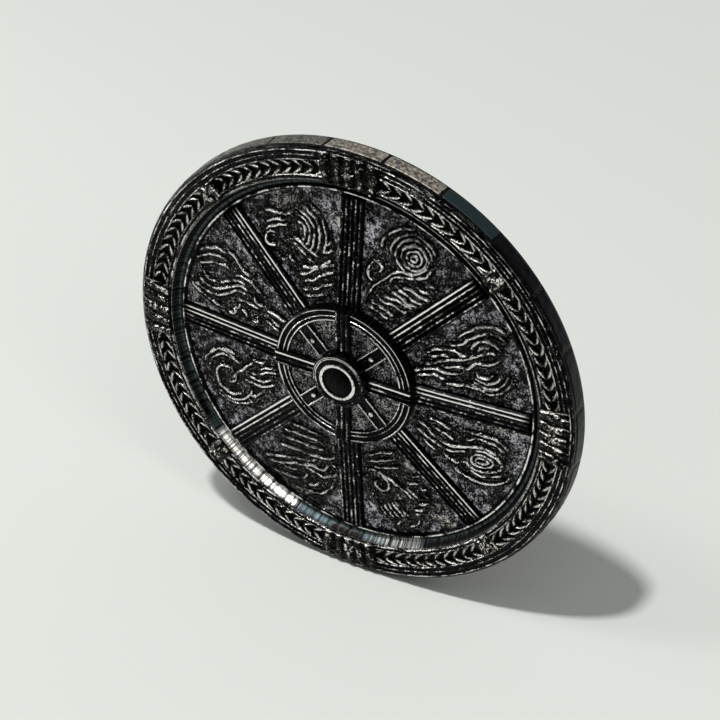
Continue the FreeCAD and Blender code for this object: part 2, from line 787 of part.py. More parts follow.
def band_outline(points, corners, thickness, x):
    """Face of a strap seen edge-on: a band along (y, z) points with a radius at each inner corner."""
    half = thickness / 2
    sides = {1: [], -1: []}
    count = len(points)
    start = points[0]
    for i in range(1, count):
        end = points[i]
        run = end - start
        run.normalize()
        normal = Vector(-run.y, run.x, 0)
        if i < count - 1:
            following = points[i + 1] - points[i]
            following.normalize()
            turn = run.x * following.y - run.y * following.x
            angle = math.acos(max(-1.0, min(1.0, run.dot(following))))
            radius = corners[i - 1]
            cut = radius * math.tan(angle / 2)
            stop = end - run * cut
        else:
            stop = end
        for side in sides:
            sides[side].append(("line", start + normal * side * half, stop + normal * side * half))
        if i < count - 1:
            hand = 1 if turn > 0 else -1
            centre = stop + normal * hand * radius
            leave = end + following * cut
            after = Vector(-following.y, following.x, 0)
            middle = normal + after
            middle.normalize()
            for side in sides:
                reach = radius - side * hand * half
                a = centre - normal * hand * reach
                b = centre - middle * hand * reach
                c = centre - after * hand * reach
                sides[side].append(("arc", a, b, c))
            start = leave
    edges = []

    def place(p):
        return Vector(x, p.x, p.y)

    for kind, *pts in sides[1]:
        pts = [place(p) for p in pts]
        edges.append(Part.LineSegment(*pts).toShape() if kind == "line" else Part.Arc(*pts).toShape())
    edges.append(Part.LineSegment(place(sides[1][-1][-1]), place(sides[-1][-1][-1])).toShape())
    for kind, *pts in reversed(sides[-1]):
        pts = [place(p) for p in reversed(pts)]
        edges.append(Part.LineSegment(*pts).toShape() if kind == "line" else Part.Arc(*pts).toShape())
    edges.append(Part.LineSegment(place(sides[-1][0][1]), place(sides[1][0][1])).toShape())
    return Part.Face(Part.Wire(edges))


def band(points, corners, thickness, width, middle_x):
    """A strap of a width along a path in the plane of local Y and Z."""
    flat = [Vector(y, z, 0) for y, z in points]
    face = band_outline(flat, corners, thickness, middle_x - width / 2)
    return face.extrude(Vector(width, 0, 0))


def strap_foot(half_height, side):
    """First points of a strap: its foot on the lining and the bend away from it."""
    return [(side * (half_height + foot_length), foot_level), (side * half_height, foot_level)]


def forearm_strap():
    """Long end of the forearm strap: up over the arm, through the buckle and on over the short end."""
    rise = eye_radius + strap_thickness
    points = strap_foot(loop_half_height, -1) + [
        (-loop_half_height, run_level),
        (frame_front + buckle_bar_width, run_level),
        (buckle_place - buckle_bar_width, over_level),
        (buckle_place + rise, over_level),
        (buckle_place + fold_length, tail_level),
        (tail_length, tail_level),
    ]
    corners = [foot_corner, loop_corner, strap_thickness, strap_thickness, strap_thickness, strap_thickness]
    strap = band(points, corners, strap_thickness, strap_width, strap_place)
    half = prong_width / 2 + prong_slot_gap
    slot = block(strap_place - half, strap_place + half,
                 frame_front + buckle_bar_width, buckle_place + buckle_bar_radius + strap_thickness,
                 over_level - strap_thickness, bar_level - buckle_bar_radius)
    low = block(strap_place - half, strap_place + half,
                frame_front + buckle_bar_width, buckle_place - buckle_bar_radius,
                over_level - strap_thickness, run_level + strap_thickness)
    return strap.cut(slot).cut(low)


def half_round(y, z, radius, flats):
    """Corners, as (y, z), of a half round in flats, from its low side round towards -Y to its high side."""
    turns = [math.pi * i / flats for i in range(flats + 1)]
    return [(y - radius * math.sin(t), z - radius * math.cos(t)) for t in turns]


def buckle_strap():
    """Short end of the forearm strap, folded round the buckle's bar and sewn."""
    points = strap_foot(loop_half_height, 1) + [
        (loop_half_height, run_level),
        (buckle_place, run_level),
    ]
    strap = band(points, [foot_corner, loop_corner], strap_thickness, strap_width, strap_place)
    x0 = strap_place - strap_width / 2
    fold_end = buckle_place + fold_length - strap_thickness
    outline = [(fold_end, run_level), (fold_end, run_level - fold_share * strap_thickness)]
    outline += half_round(buckle_place, bar_level, outside(eye_radius, math.pi / 2, eye_flats), eye_flats)
    ends = [[Vector(x, y, z) for y, z in outline] for x in (x0, x0 + strap_width)]
    fold = prism_between(ends[0], ends[1])
    bore_radius = buckle_bar_radius + buckle_bar_clearance
    bore = Part.makeCylinder(bore_radius, strap_width + 2 * cut_overrun,
                             Vector(x0 - cut_overrun, buckle_place, bar_level), Vector(1, 0, 0))
    half = prong_width / 2 + prong_slot_gap
    slot = block(strap_place - half, strap_place + half, buckle_place - eye_radius - cut_overrun,
                 buckle_place + eye_radius, bar_level - eye_radius - cut_overrun, run_level + strap_thickness)
    return strap.fuse(fold).cut(bore).cut(slot)


def buckle_frame():
    """Forged buckle frame: round pivot bar, two sides and the front bar."""
    half_inner = strap_width / 2 + buckle_side_gap
    half_outer = half_inner + buckle_side_width
    y0 = frame_front - buckle_bar_width / 2
    y1 = buckle_place + buckle_bar_radius
    low = bar_level - buckle_bar_thickness / 2
    high = bar_level + buckle_bar_thickness / 2
    outer = block(strap_place - half_outer, strap_place + half_outer, y0, y1, low, high)
    inner = block(strap_place - half_inner, strap_place + half_inner, y0 + buckle_bar_width, y1 + cut_overrun,
                  low - cut_overrun, high + cut_overrun)
    frame = outer.cut(inner)
    corners = [e for e in frame.Edges if is_frame_corner(e, half_outer, y0)]
    frame = frame.makeFillet(buckle_bar_width * frame_corner_share, corners)
    bar = Part.makeCylinder(buckle_bar_radius, 2 * half_outer - buckle_side_width,
                            Vector(strap_place - half_outer + buckle_side_width / 2, buckle_place, bar_level),
                            Vector(1, 0, 0))
    return frame.fuse(bar)


def is_frame_corner(edge, half_outer, y0):
    """Whether an edge is one of the frame's two outer front corners."""
    middle = edge.CenterOfMass
    at_side = abs(abs(middle.x - strap_place) - half_outer) < fit_gap
    at_front = abs(middle.y - y0) < fit_gap
    return at_side and at_front


def buckle_prong():
    """Prong: a loop round the pivot bar and a tongue that rests on the front bar."""
    x0 = strap_place - prong_width / 2
    bore_radius = buckle_bar_radius + buckle_bar_clearance
    loop_radius = bore_radius + prong_thickness * prong_wall_share
    tip_y = frame_front - buckle_bar_width / 2 - loose_gap
    rest = bar_level - buckle_bar_thickness / 2 - loose_gap
    outer = outside(loop_radius, math.pi / 2, eye_flats)
    tongue = [
        (buckle_place, bar_level + outer),
        (buckle_place + outer, bar_level + outer / 2),
        (buckle_place + outer, bar_level - outer / 2),
        (buckle_place, bar_level - outer),
        (frame_front + buckle_bar_width / 2, rest - prong_thickness),
        (tip_y, rest - prong_thickness * prong_wall_share),
        (tip_y, rest),
        (frame_front + buckle_bar_width / 2, rest),
        (buckle_place - outer, bar_level - bore_radius / 2),
        (buckle_place - outer, bar_level + outer / 2),
    ]
    ends = [[Vector(x, y, z) for y, z in tongue] for x in (x0, x0 + prong_width)]
    bore = Part.makeCylinder(bore_radius, prong_width + 2 * cut_overrun,
                             Vector(x0 - cut_overrun, buckle_place, bar_level), Vector(1, 0, 0))
    return prism_between(ends[0], ends[1]).cut(bore)


def strap_keeper():
    """Leather loop that holds the strap's tail down on the short end."""
    half_x = strap_width / 2 + fit_gap
    y0 = loop_half_height - loop_corner - keeper_width - loose_gap * 2
    near = run_level + strap_thickness / 2 + fit_gap
    far = tail_level - strap_thickness / 2 - fit_gap
    outer = block(strap_place - half_x - keeper_wall, strap_place + half_x + keeper_wall,
                  y0, y0 + keeper_width, far - keeper_wall, near + keeper_wall)
    inner = block(strap_place - half_x, strap_place + half_x, y0 - cut_overrun, y0 + keeper_width + cut_overrun,
                  far, near)
    return outer.cut(inner)


def hand_strap():
    """Stout strap that carries the hand grip."""
    points = strap_foot(hand_half_height, -1) + [
        (-hand_half_height, grip_level),
        (hand_half_height, grip_level),
    ] + strap_foot(hand_half_height, 1)[::-1]
    corners = [foot_corner, hand_corner, hand_corner, foot_corner]
    return band(points, corners, strap_thickness, hand_strap_width, hand_place)


def hand_grip():
    """Stuffed leather grip round the hand strap, with a fuller middle."""
    half = grip_length / 2
    rings = []
    for y, radius in ((-half, grip_waist), (0, grip_radius), (half, grip_waist)):
        angles = [2 * math.pi * i / grip_sides for i in range(grip_sides)]
        rings.append([Vector(hand_place + radius * math.cos(a), y, grip_level + radius * math.sin(a)) for a in angles])
    roll = closed_solid([rings[0], rings[-1][::-1]] + skin(rings))
    x_half = hand_strap_width / 2 + grip_slot_gap
    z_half = strap_thickness / 2 + grip_slot_gap
    slot = block(hand_place - x_half, hand_place + x_half, -half - cut_overrun, half + cut_overrun,
                 grip_level - z_half, grip_level + z_half)
    return roll.cut(slot)


# Hanging rings

def hanging_ring(side):
    """Forged ring, hanging from its staple flat along the back; side is 1 or -1."""
    centre = Vector(side * ring_place_x, ring_place_z - ring_radius, ring_level)
    sections = []
    for i in range(ring_flats):
        angle = 2 * math.pi * (i + 0.5) / ring_flats + math.pi / 2
        out = Vector(math.cos(angle), math.sin(angle), 0)
        stretch = 1 / math.cos(math.pi / ring_flats)
        corners = []
        for k in range(ring_bar_sides):
            turn = 2 * math.pi * k / ring_bar_sides
            reach = (ring_radius + ring_bar_radius * math.cos(turn)) * stretch
            corners.append(centre + out * reach + Vector(0, 0, ring_bar_radius * math.sin(turn)))
        sections.append(corners)
    faces = []
    for i in range(ring_flats):
        here, there = sections[i], sections[(i + 1) % ring_flats]
        for k in range(ring_bar_sides):
            m = (k + 1) % ring_bar_sides
            faces.append([here[k], there[k], there[m], here[m]])
    return closed_solid(faces)


def ring_staples():
    """Plate and pierced lug of each hanging ring."""
    staples = []
    for side in (1, -1):
        x = side * ring_place_x
        half = staple_plate / 2
        face = lining_back - staple_plate_thickness
        plate = block(x - half, x + half, ring_place_z - half, ring_place_z + half, face, lining_back)
        x0 = x - staple_lug_thickness / 2
        outline = [
            (ring_place_z - staple_lug_radius, face),
            (ring_place_z - staple_lug_radius, ring_level - staple_lug_radius / 2),
            (ring_place_z - staple_lug_radius / 2, ring_level - staple_lug_radius),
            (ring_place_z + staple_lug_radius / 2, ring_level - staple_lug_radius),
            (ring_place_z + staple_lug_radius, ring_level - staple_lug_radius / 2),
            (ring_place_z + staple_lug_radius, face),
        ]
        ends = [[Vector(across, y, z) for y, z in outline] for across in (x0, x0 + staple_lug_thickness)]
        lug = prism_between(ends[0], ends[1])
        eye = Part.makeCylinder(ring_eye_radius, staple_lug_thickness + 2 * cut_overrun,
                                Vector(x0 - cut_overrun, ring_place_z, ring_level), Vector(1, 0, 0))
        staples.append(plate.fuse(lug).cut(eye))
    return Part.makeCompound(staples)


def main():
    write("core_board", core_board())
    write("rim_hoop", rim_hoop())
    write("rim_shell", rim_shell())
    write("step_ring", step_ring())
    write("bead_ring", bead_ring())
    write("edge_plates", edge_plates())
    for i in range(spoke_count):
        number = str(i + 1)
        write("laurel_" + number, laurel(i))
        write("plaque_" + number, plaque(i))
        write("field_panel_" + number, field_panel(i))
        write("rib_" + number, rib(i))
    write("inner_ring", inner_ring())
    write("hub_plate", hub_plate())
    write("hub_ribs", Part.makeCompound([hub_rib(i) for i in range(0, spoke_count, 2)]))
    write("hub_straps", Part.makeCompound([hub_strap(i) for i in range(1, spoke_count, 2)]))
    write("hub_studs", hub_studs())
    write("boss_collar", boss_collar())
    write("boss_ring", boss_ring())
    write("boss_dome", boss_dome())
    write("back_lining", back_lining())
    write("arm_pad", arm_pad())
    write("forearm_strap", forearm_strap())
    write("buckle_strap", buckle_strap())
    write("buckle_frame", buckle_frame())
    write("buckle_prong", buckle_prong())
    write("strap_keeper", strap_keeper())
    write("hand_strap", hand_strap())
    write("hand_grip", hand_grip())
    write("strap_nails", strap_nails())
    write("hanging_ring_left", hanging_ring(1))
    write("hanging_ring_right", hanging_ring(-1))
    write("ring_staples", ring_staples())


main()
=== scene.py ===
"""Looks of a round embossed shield: blackened iron face, polished step, leather and forged fittings behind.

Most pieces are worked out lying down, in millimetres: x to the right, y to the top and h up out of the face,
measured from the disc's axis and from the back edge of the rim. They are then stood up in metres.
"""
import math

import bpy
import numpy as np
from bpy.props import FloatProperty, FloatVectorProperty, PointerProperty
from mathutils import Matrix, Vector


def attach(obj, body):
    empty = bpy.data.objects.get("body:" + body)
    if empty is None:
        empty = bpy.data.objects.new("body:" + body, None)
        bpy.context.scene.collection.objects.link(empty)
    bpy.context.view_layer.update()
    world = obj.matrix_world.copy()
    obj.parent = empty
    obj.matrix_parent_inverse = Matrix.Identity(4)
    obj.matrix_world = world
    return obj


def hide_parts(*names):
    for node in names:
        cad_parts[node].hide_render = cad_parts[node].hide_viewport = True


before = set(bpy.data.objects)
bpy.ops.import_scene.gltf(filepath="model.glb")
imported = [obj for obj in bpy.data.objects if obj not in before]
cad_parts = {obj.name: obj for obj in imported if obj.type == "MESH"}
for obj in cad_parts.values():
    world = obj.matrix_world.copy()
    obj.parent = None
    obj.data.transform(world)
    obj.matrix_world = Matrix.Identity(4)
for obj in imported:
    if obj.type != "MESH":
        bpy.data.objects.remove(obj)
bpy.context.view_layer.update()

bl_info = {
    "name": "Round embossed shield",
    "version": (1, 0, 0),
    "blender": (4, 5, 0),
    "location": "View3D > Sidebar > Shield",
    "description": "Builds the looks of a round embossed shield round its packed model",
    "category": "Object",
}

SECTORS = 8
HALF_SECTOR = math.radians(22.5)

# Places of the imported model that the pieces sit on: radii, heights and widths in millimetres
RIM_RADIUS, BEADS_INNER = 298.8, 280.0
BAND_OUTER, BAND_INNER, BAND_FLOOR = 281.0, 263.0, 25.8
BAND_MIDDLE = (BAND_OUTER + BAND_INNER) / 2
LIP_INNER, STEP_FLOOR, BEAD_RING_OUTER = 255.8, 17.8, 246.2
FIELD_OUTER, FIELD_EDGE, FIELD_SLOPE, SHEET = 238.2, 16.6, 0.0917, 1.2
RIB_WIDTH, RIB_HEIGHT = 31.0, 7.0
HUB_RADIUS, HUB_HOLE, HUB_TOP, HUB_FLOOR = 93.0, 76.5, 45.1, 41.7
LINING, LINING_RADIUS = 8.5, 255.2
# Half the angle that a large and a small plaque cover, in degrees
PLAQUE_HALVES = (8.0, 2.84)


def linear(code):
    """An sRGB hex colour as linear light."""
    parts = [int(code[i:i + 2], 16) / 255 for i in (1, 3, 5)]
    return tuple(p / 12.92 if p <= 0.04045 else ((p + 0.055) / 1.055) ** 2.4 for p in parts)


class ShieldSizes(bpy.types.PropertyGroup):
    """Sizes of the dressing that a user may change."""
    relief: FloatProperty(
        name="Relief height", description="How far the scrolls stand out of the field",
        default=0.0042, min=0.001, max=0.006, unit="LENGTH")
    stroke: FloatProperty(
        name="Stroke width", description="Width of one embossed ridge of the scrolls",
        default=0.0056, min=0.003, max=0.010, unit="LENGTH")
    chasing: FloatProperty(
        name="Chasing marks", description="Depth of the hammer and chisel marks in the metal",
        default=0.00035, min=0.0, max=0.001, unit="LENGTH")
    stitch: FloatProperty(
        name="Stitch pitch", description="Distance from one stitch of the leather to the next",
        default=0.0055, min=0.003, max=0.010, unit="LENGTH")


class ShieldColours(bpy.types.PropertyGroup):
    """Colours that a user may change."""
    iron: FloatVectorProperty(
        name="Blackened iron", description="Ribs, rim and hub bars",
        default=linear("#3f3f40"), min=0, max=1, subtype="COLOR")
    patina: FloatVectorProperty(
        name="Field patina", description="Ground of the embossed panels",
        default=linear("#66656a"), min=0, max=1, subtype="COLOR")
    bronze: FloatVectorProperty(
        name="Blackened bronze", description="Laurel and its bindings",
        default=linear("#454340"), min=0, max=1, subtype="COLOR")
    steel: FloatVectorProperty(
        name="Polished steel", description="Step and wall of the hub ring",
        default=linear("#b3b0a9"), min=0, max=1, subtype="COLOR")
    leather: FloatVectorProperty(
        name="Leather", description="Straps, pad and lining",
        default=linear("#86552f"), min=0, max=1, subtype="COLOR")
    wood: FloatVectorProperty(
        name="Limewood", description="Board and hoop",
        default=linear("#a8835a"), min=0, max=1, subtype="COLOR")


# Shapes

def standing(points):
    """Points of the lying shield in millimetres as points of the standing one in metres."""
    p = np.asarray(points, float)
    return np.stack([p[..., 0], -p[..., 2], p[..., 1]], -1) / 1000


def turned(points, angle):
    """Lying points turned about the shield's axis."""
    p = np.asarray(points, float)
    c, s = math.cos(angle), math.sin(angle)
    return np.stack([p[..., 0] * c - p[..., 1] * s, p[..., 0] * s + p[..., 1] * c, p[..., 2]], -1)


def unevenness(u, v, size, seed):
    """Smooth seeded unevenness from -1 to 1 with lumps of a size."""
    table = np.random.default_rng(seed).uniform(-1, 1, (61, 61))
    u, v = np.broadcast_arrays(np.asarray(u, float) / size, np.asarray(v, float) / size)
    i, j = np.floor(u).astype(int), np.floor(v).astype(int)
    a, b = u - i, v - j
    a, b = a * a * (3 - 2 * a), b * b * (3 - 2 * b)
    low = table[i % 61, j % 61] * (1 - a) + table[(i + 1) % 61, j % 61] * a
    high = table[i % 61, (j + 1) % 61] * (1 - a) + table[(i + 1) % 61, (j + 1) % 61] * a
    return low * (1 - b) + high * b


def grid_faces(rows, columns, closed=False):
    """Corner numbers of a grid of points whose rows run along the second direction."""
    number = np.arange(rows * columns).reshape(rows, columns)
    if closed:
        number = np.concatenate([number, number[:, :1]], 1)
    corners = [number[:-1, :-1], number[1:, :-1], number[1:, 1:], number[:-1, 1:]]
    return np.stack(corners, -1).reshape(-1, 4)


def fill_mesh(mesh, points, faces, marks):
    """Gives a mesh its points, faces and named marks on the points."""
    points = np.asarray(points, float).reshape(-1, 3)
    faces = np.asarray(faces, int)
    mesh.vertices.add(len(points))
    mesh.vertices.foreach_set("co", points.ravel())
    mesh.loops.add(faces.size)
    mesh.loops.foreach_set("vertex_index", faces.ravel())
    mesh.polygons.add(len(faces))
    mesh.polygons.foreach_set("loop_start", np.arange(len(faces)) * faces.shape[1])
    mesh.update(calc_edges=True)
    for name, values in marks.items():
        mark = mesh.attributes.new(name, "FLOAT", "POINT")
        mark.data.foreach_set("value", np.asarray(values, float).ravel())
    mesh.validate()


def add_piece(name, points, faces, material, slot, nodes=(), body="root", sharp=50, marks=None):
    """A piece of the shield from lying points, on its body and in place of its nodes."""
    mesh = bpy.data.meshes.new(name)
    fill_mesh(mesh, standing(points), faces, marks or {})
    mesh.polygons.foreach_set("use_smooth", [True] * len(mesh.polygons))
    mesh.set_sharp_from_angle(angle=math.radians(sharp))
    mesh.materials.append(material)
    piece = bpy.data.objects.new(name, mesh)
    bpy.context.collection.objects.link(piece)
    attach(piece, body)
    if nodes:
        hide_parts(*nodes)
    return piece


def add_grid(name, points, material, slot, closed=False, flip=False, **rest):
    """A piece from one grid of lying points."""
    points = np.asarray(points, float)
    faces = grid_faces(points.shape[0], points.shape[1], closed)
    if flip:
        faces = faces[:, ::-1]
    return add_piece(name, points, faces, material, slot, **rest)


def add_grids(name, grids, material, slot, closed=False, flip=False, marks=None, **rest):
    """A piece from several grids of lying points, each with its own values of every mark."""
    parts = []
    for grid in grids:
        faces = grid_faces(*grid.shape[:2], closed)
        parts.append((grid, faces[:, ::-1] if flip else faces))
    points, faces = joined(parts)
    marks = {mark: np.concatenate([np.ravel(v) for v in values]) for mark, values in (marks or {}).items()}
    return add_piece(name, points, faces, material, slot, marks=marks, **rest)


def joined(parts):
    """Several (points, faces) pairs as one."""
    points, faces, count = [], [], 0
    for some_points, some_faces in parts:
        some_points = np.asarray(some_points, float).reshape(-1, 3)
        points.append(some_points)
        faces.append(np.asarray(some_faces) + count)
        count += len(some_points)
    return np.concatenate(points), np.concatenate(faces)


def skirted(top, foot):
    """A grid with a border that drops straight to a foot height, one number or one for each border point."""
    grid = np.pad(top, ((1, 1), (1, 1), (0, 0)), mode="edge")
    low = np.broadcast_to(foot, grid.shape[:2])
    for edge in (np.s_[0, :], np.s_[-1, :], np.s_[:, 0], np.s_[:, -1]):
        grid[edge + (2,)] = low[edge]
    return grid


def ring_points(section, steps, lift=None):
    """A full ring from (radius, height) points; lift(radius, height, angle) adds to the heights."""
    section = np.asarray(section, float)
    angle = np.linspace(0, 2 * math.pi, steps, endpoint=False)
    radius, height = section[:, :1], np.repeat(section[:, 1:], steps, 1)
    if lift is not None:
        height = height + lift(radius, height, angle[None, :])
    return np.stack([radius * np.cos(angle), radius * np.sin(angle), height], -1)


def rounded(points, radius, count):
    """A line of (x, y) points with its inner corners rounded."""
    points = [np.asarray(p, float) for p in points]
    line = [points[0]]
    for before, corner, after in zip(points, points[1:], points[2:]):
        u, v = before - corner, after - corner
        lu, lv = np.linalg.norm(u), np.linalg.norm(v)
        u, v = u / lu, v / lv
        turn = math.acos(float(np.clip(np.dot(u, v), -1, 1)))
        reach = min(radius / math.tan(turn / 2), lu * 0.49, lv * 0.49) if turn < 3.1 else 0.0
        for t in np.linspace(0, 1, count + 1):
            line.append(corner + u * reach * (1 - t) ** 2 + v * reach * t ** 2)
    line.append(points[-1])
    return np.array(line)


def run(*corners):
    """A smooth line through corners of a panel, as points about 1.6 mm apart."""
    c = np.asarray(corners, float)
    c = np.concatenate([[2 * c[0] - c[1]], c, [2 * c[-1] - c[-2]]])
    line = []
    for a, b, d, e in zip(c, c[1:], c[2:], c[3:]):
        count = max(2, int(np.linalg.norm(d - b) / 1.6))
        for t in np.arange(count) / count:
            line.append(0.5 * (2 * b + (d - a) * t + (2 * a - 5 * b + 4 * d - e) * t ** 2
                               + (3 * b - a - 3 * d + e) * t ** 3))
    return np.array(line + [c[-2]])


def bow(x, y, first, last, start, end, squeeze=1.0, tilt=0.0):
    """An arc or a spiral about a point, from one radius and angle in degrees to another."""
    count = max(4, int(abs(end - start) / 12))
    turn = np.radians(np.linspace(start, end, count + 1))
    radius = np.linspace(first, last, count + 1)
    u, v = radius * np.cos(turn), radius * np.sin(turn) * squeeze
    c, s = math.cos(math.radians(tilt)), math.sin(math.radians(tilt))
    return np.stack([x + u * c - v * s, y + u * s + v * c], -1)


# Scrollwork of the eight panels: x from the axis along the panel's middle line, y across it
SCROLLS = (
    (
        run((93, -3), (108, -2), (124, -4), (136, -10), (150, -14), (160, -11)),
        run((95, -9), (112, -10), (124, -14), (134, -20)),
        run((118, 18), (136, 20), (156, 17), (164, 9), (176, 6)),
        run((122, 11), (138, 13), (152, 9)),
        run((112, 4), (130, 4), (146, 6), (164, 3), (184, 5), (202, 8), (212, 4)),
        run((134, -3), (150, -4), (166, -8), (180, -4), (198, -7), (214, -1)),
        run((128, -22), (146, -29), (166, -34), (182, -45), (197, -46), (219, -36)),
        run((160, -26), (176, -38), (192, -41), (216, -30)),
        run((152, 24), (170, 23), (186, 29), (200, 33), (216, 30), (228, 18)),
        run((166, 32), (184, 38), (204, 42), (222, 38), (232, 26)),
        bow(196, 4, 12, 12, 170, 20), bow(197, 5, 19, 19, 165, 5),
        bow(188, -12, 13, 13, 175, 330), bow(190, -12, 20, 20, 190, 328), bow(192, -12, 27, 27, 200, 325),
    ),
    (
        run((107, 19), (106, 2), (107, -17)), run((115, 18), (114, 0), (115, -20)),
        run((120, 22), (136, 20), (150, 13), (164, 8), (173, -1), (178, -12), (188, -22), (202, -26),
            (214, -22)),
        run((148, 4), (160, 4), (168, -6), (176, -18), (188, -30), (204, -33)),
        run((124, 12), (123, 0), (128, -12), (128, -26), (132, -32)),
        run((132, 6), (134, -8), (138, -22), (139, -38)), run((141, 2), (143, -14), (142, -30), (147, -43)),
        run((148, -3), (151, -16), (150, -30), (155, -46)),
        run((157, -8), (159, -22), (161, -36), (164, -50)),
        run((168, -20), (169, -36), (174, -46)), run((179, -34), (182, -46)),
        bow(147, 28, 7, 6, 20, 250), bow(160, 28, 6, 6, -150, 70), run((138, 33), (152, 36), (168, 33)),
        bow(200, -7, 4, 4, 0, 360), bow(200, -7, 10, 10, 0, 360), bow(200, -7, 16, 16, -170, 190),
        bow(200, -7, 23, 23, -60, 215), bow(199, -7, 30, 30, -50, 115), bow(196, -4, 38, 40, 20, 110),
    ),
    (
        run((106, 22), (103, 4), (105, -16)), run((114, 22), (112, 2), (116, -26)),
        run((122, 20), (124, 2), (129, -16), (131, -36)), run((132, 24), (133, 6), (138, -12), (139, -36)),
        run((143, 14), (139, -4), (142, -24), (148, -36)),
        run((144, -8), (160, 3), (180, 18)), run((150, -19), (163, -5), (184, 12)),
        run((168, 18), (176, 24), (186, 31)),
        bow(188, 6, 15, 15, 195, 335), bow(188, 6, 22, 22, 200, 332), bow(188, 7, 30, 30, 200, 328),
        bow(188, 8, 38, 38, 205, 322), bow(188, 8, 46, 46, 222, 312),
        run((158, -22), (156, -34), (163, -42)), run((168, -26), (166, -36), (174, -42)),
        run((190, 52), (195, 40), (196, 26), (193, 8)), run((201, 46), (204, 32), (201, 18), (206, 2)),
        run((218, 44), (214, 30), (208, 16), (211, 0)),
        bow(180, 42, 9, 9, -60, 200), run((150, 30), (156, 40), (166, 44)),
        run((146, 18), (154, 24), (160, 20)),
    ),
    (
        run((96, 15), (110, 13), (122, 15)), run((97, 8), (112, 7), (128, 9)),
        run((94, -4), (110, -4), (126, -2)),
        run((146, 2), (160, 3), (172, 8), (182, 22), (192, 35), (207, 39), (226, 39)),
        run((152, -5), (166, -3), (178, 5), (188, 18), (202, 29), (224, 29)),
        run((158, -9), (172, -8), (185, 2), (197, 16), (212, 20), (226, 15)),
        run((186, -15), (204, -11), (220, 0), (231, 12)), run((194, -23), (212, -19), (228, -5), (238, 8)),
        run((200, -33), (216, -29), (231, -16), (239, -5)),
        run((130, -14), (146, -16), (158, -20), (172, -18), (180, -10)),
        run((158, -26), (176, -28), (190, -36), (210, -37)),
        run((128, -3), (138, 2), (150, -7)), run((130, 6), (142, 8), (154, 12), (166, 16)),
        run((176, 43), (196, 47), (222, 45), (232, 36)),
        bow(133, 24, 4, 4, 0, 300), bow(149, 29, 4, 4, 90, 400), bow(165, 36, 5, 5, 0, 320),
        bow(162, 24, 4, 4, 0, 300),
    ),
    (
        bow(191, 2, 5, 26, 40, 480), bow(188, 0, 34, 36, 150, 25), bow(187, -2, 43, 42, 138, 28),
        run((116, 13), (134, 17), (152, 14), (168, 3)), run((120, 6), (136, 10), (149, 6), (161, -2)),
        run((104, 0), (124, -4), (142, 0), (154, -3)), run((103, -6), (122, -10), (138, -7)),
        run((140, -19), (158, -10), (174, -4), (189, 5)), run((144, 24), (158, 30), (172, 26)),
        run((152, 33), (166, 38), (176, 31)), bow(190, 0, 31, 30, 205, 335), bow(190, 0, 39, 38, 225, 330),
        run((166, -20), (176, -32), (190, -38), (208, -32)), run((120, -16), (136, -20), (146, -26)),
        run((128, 22), (136, 27)),
    ),
    (
        run((116, 14), (121, -2), (127, -20), (133, -36)),
        run((126, 18), (132, 2), (138, -12), (143, -26), (150, -42)),
        run((136, 20), (145, 5), (151, -10), (158, -26), (164, -44)),
        run((130, 34), (147, 27), (157, 12), (164, -4), (172, -22), (179, -42)),
        run((148, 44), (157, 31), (170, 27), (176, 13), (178, 0)),
        run((160, 47), (172, 38), (182, 28), (184, 14), (187, 2)),
        run((160, 14), (175, 2), (186, -14), (198, -30), (213, -50)),
        run((170, 17), (184, 4), (194, -10), (207, -26), (219, -46)),
        run((190, 12), (204, 9), (214, 0), (222, -16), (227, -36)),
        run((198, 0), (206, -10), (211, -22)), run((176, 47), (196, 45), (213, 35), (223, 19)),
        run((192, 32), (204, 26), (212, 16)), run((118, 26), (128, 28)),
    ),
    (
        run((116, 22), (115, 0), (118, -27)), run((126, 18), (127, -4), (126, -29)),
        run((139, 20), (139, 0), (135, -22)),
        run((139, -34), (140, -22), (152, -7), (167, 5), (188, 18)), run((162, 8), (174, 18), (187, 28)),
        bow(161, -22, 5, 16, 200, 520), run((152, 44), (153, 30), (149, 22)),
        run((163, 36), (163, 22), (160, 14)),
        run((172, 46), (171, 32)), run((184, 44), (182, 32)), run((194, 36), (194, 20)),
        run((203, 28), (202, 8)),
        run((210, 20), (208, 4)), run((186, -12), (200, -8), (213, -3)),
        run((188, -18), (202, -14), (214, -8)),
        run((190, -25), (204, -21), (215, -15)), run((190, -32), (204, -28), (216, -23)),
        run((188, -39), (202, -36), (212, -33)), run((214, 16), (224, 6), (229, -10)),
        run((218, -16), (227, -28)),
        run((146, -30), (150, -42)), run((172, -36), (180, -44)),
    ),
    (
        bow(193, 1, 8, 8, 0, 360, 0.5, 25), bow(193, 1, 15, 15, 0, 360, 0.6, 25),
        bow(194, 1, 24, 24, -160, 120, 0.65, 25),
        run((97, 2), (116, 2), (128, -4), (146, -6), (160, 0), (175, 12), (190, 21), (209, 22)),
        run((102, -9), (124, -12), (146, -13), (160, -8), (172, 2)), run((110, 14), (126, 18), (150, 17)),
        run((124, 6), (140, 8), (154, 6)),
        run((148, -20), (166, -24), (178, -15), (192, -21), (208, -16), (224, 0)),
        run((164, -30), (180, -34), (200, -32), (220, -20), (233, 0)),
        run((156, 26), (178, 38), (200, 42), (218, 37)), run((162, 14), (178, 30), (198, 34), (214, 28)),
        run((112, -20), (130, -22), (142, -26)),
    ),
)

# How much darker each panel is painted in its outer part, as a painted shadow of the step, and in the rest of
# it
PANEL_DARKENING = ((0.4, 0.0), (0.75, 0.0), (0.55, 0.0), (0.2, 0.0), (0.0, 0.0), (0.7, 0.4), (0.0, 0.35), (0.0, 0.0))
# Pitch of the flat grid that a panel's relief is worked out on, and how far its ground swells at a ridge
RELIEF_PITCH, SWELLING = 0.8, 0.8
# A stroke sinks towards its ends over this length, to this share of its height
TAPER_LENGTH, TAPER_END = 9, 0.35
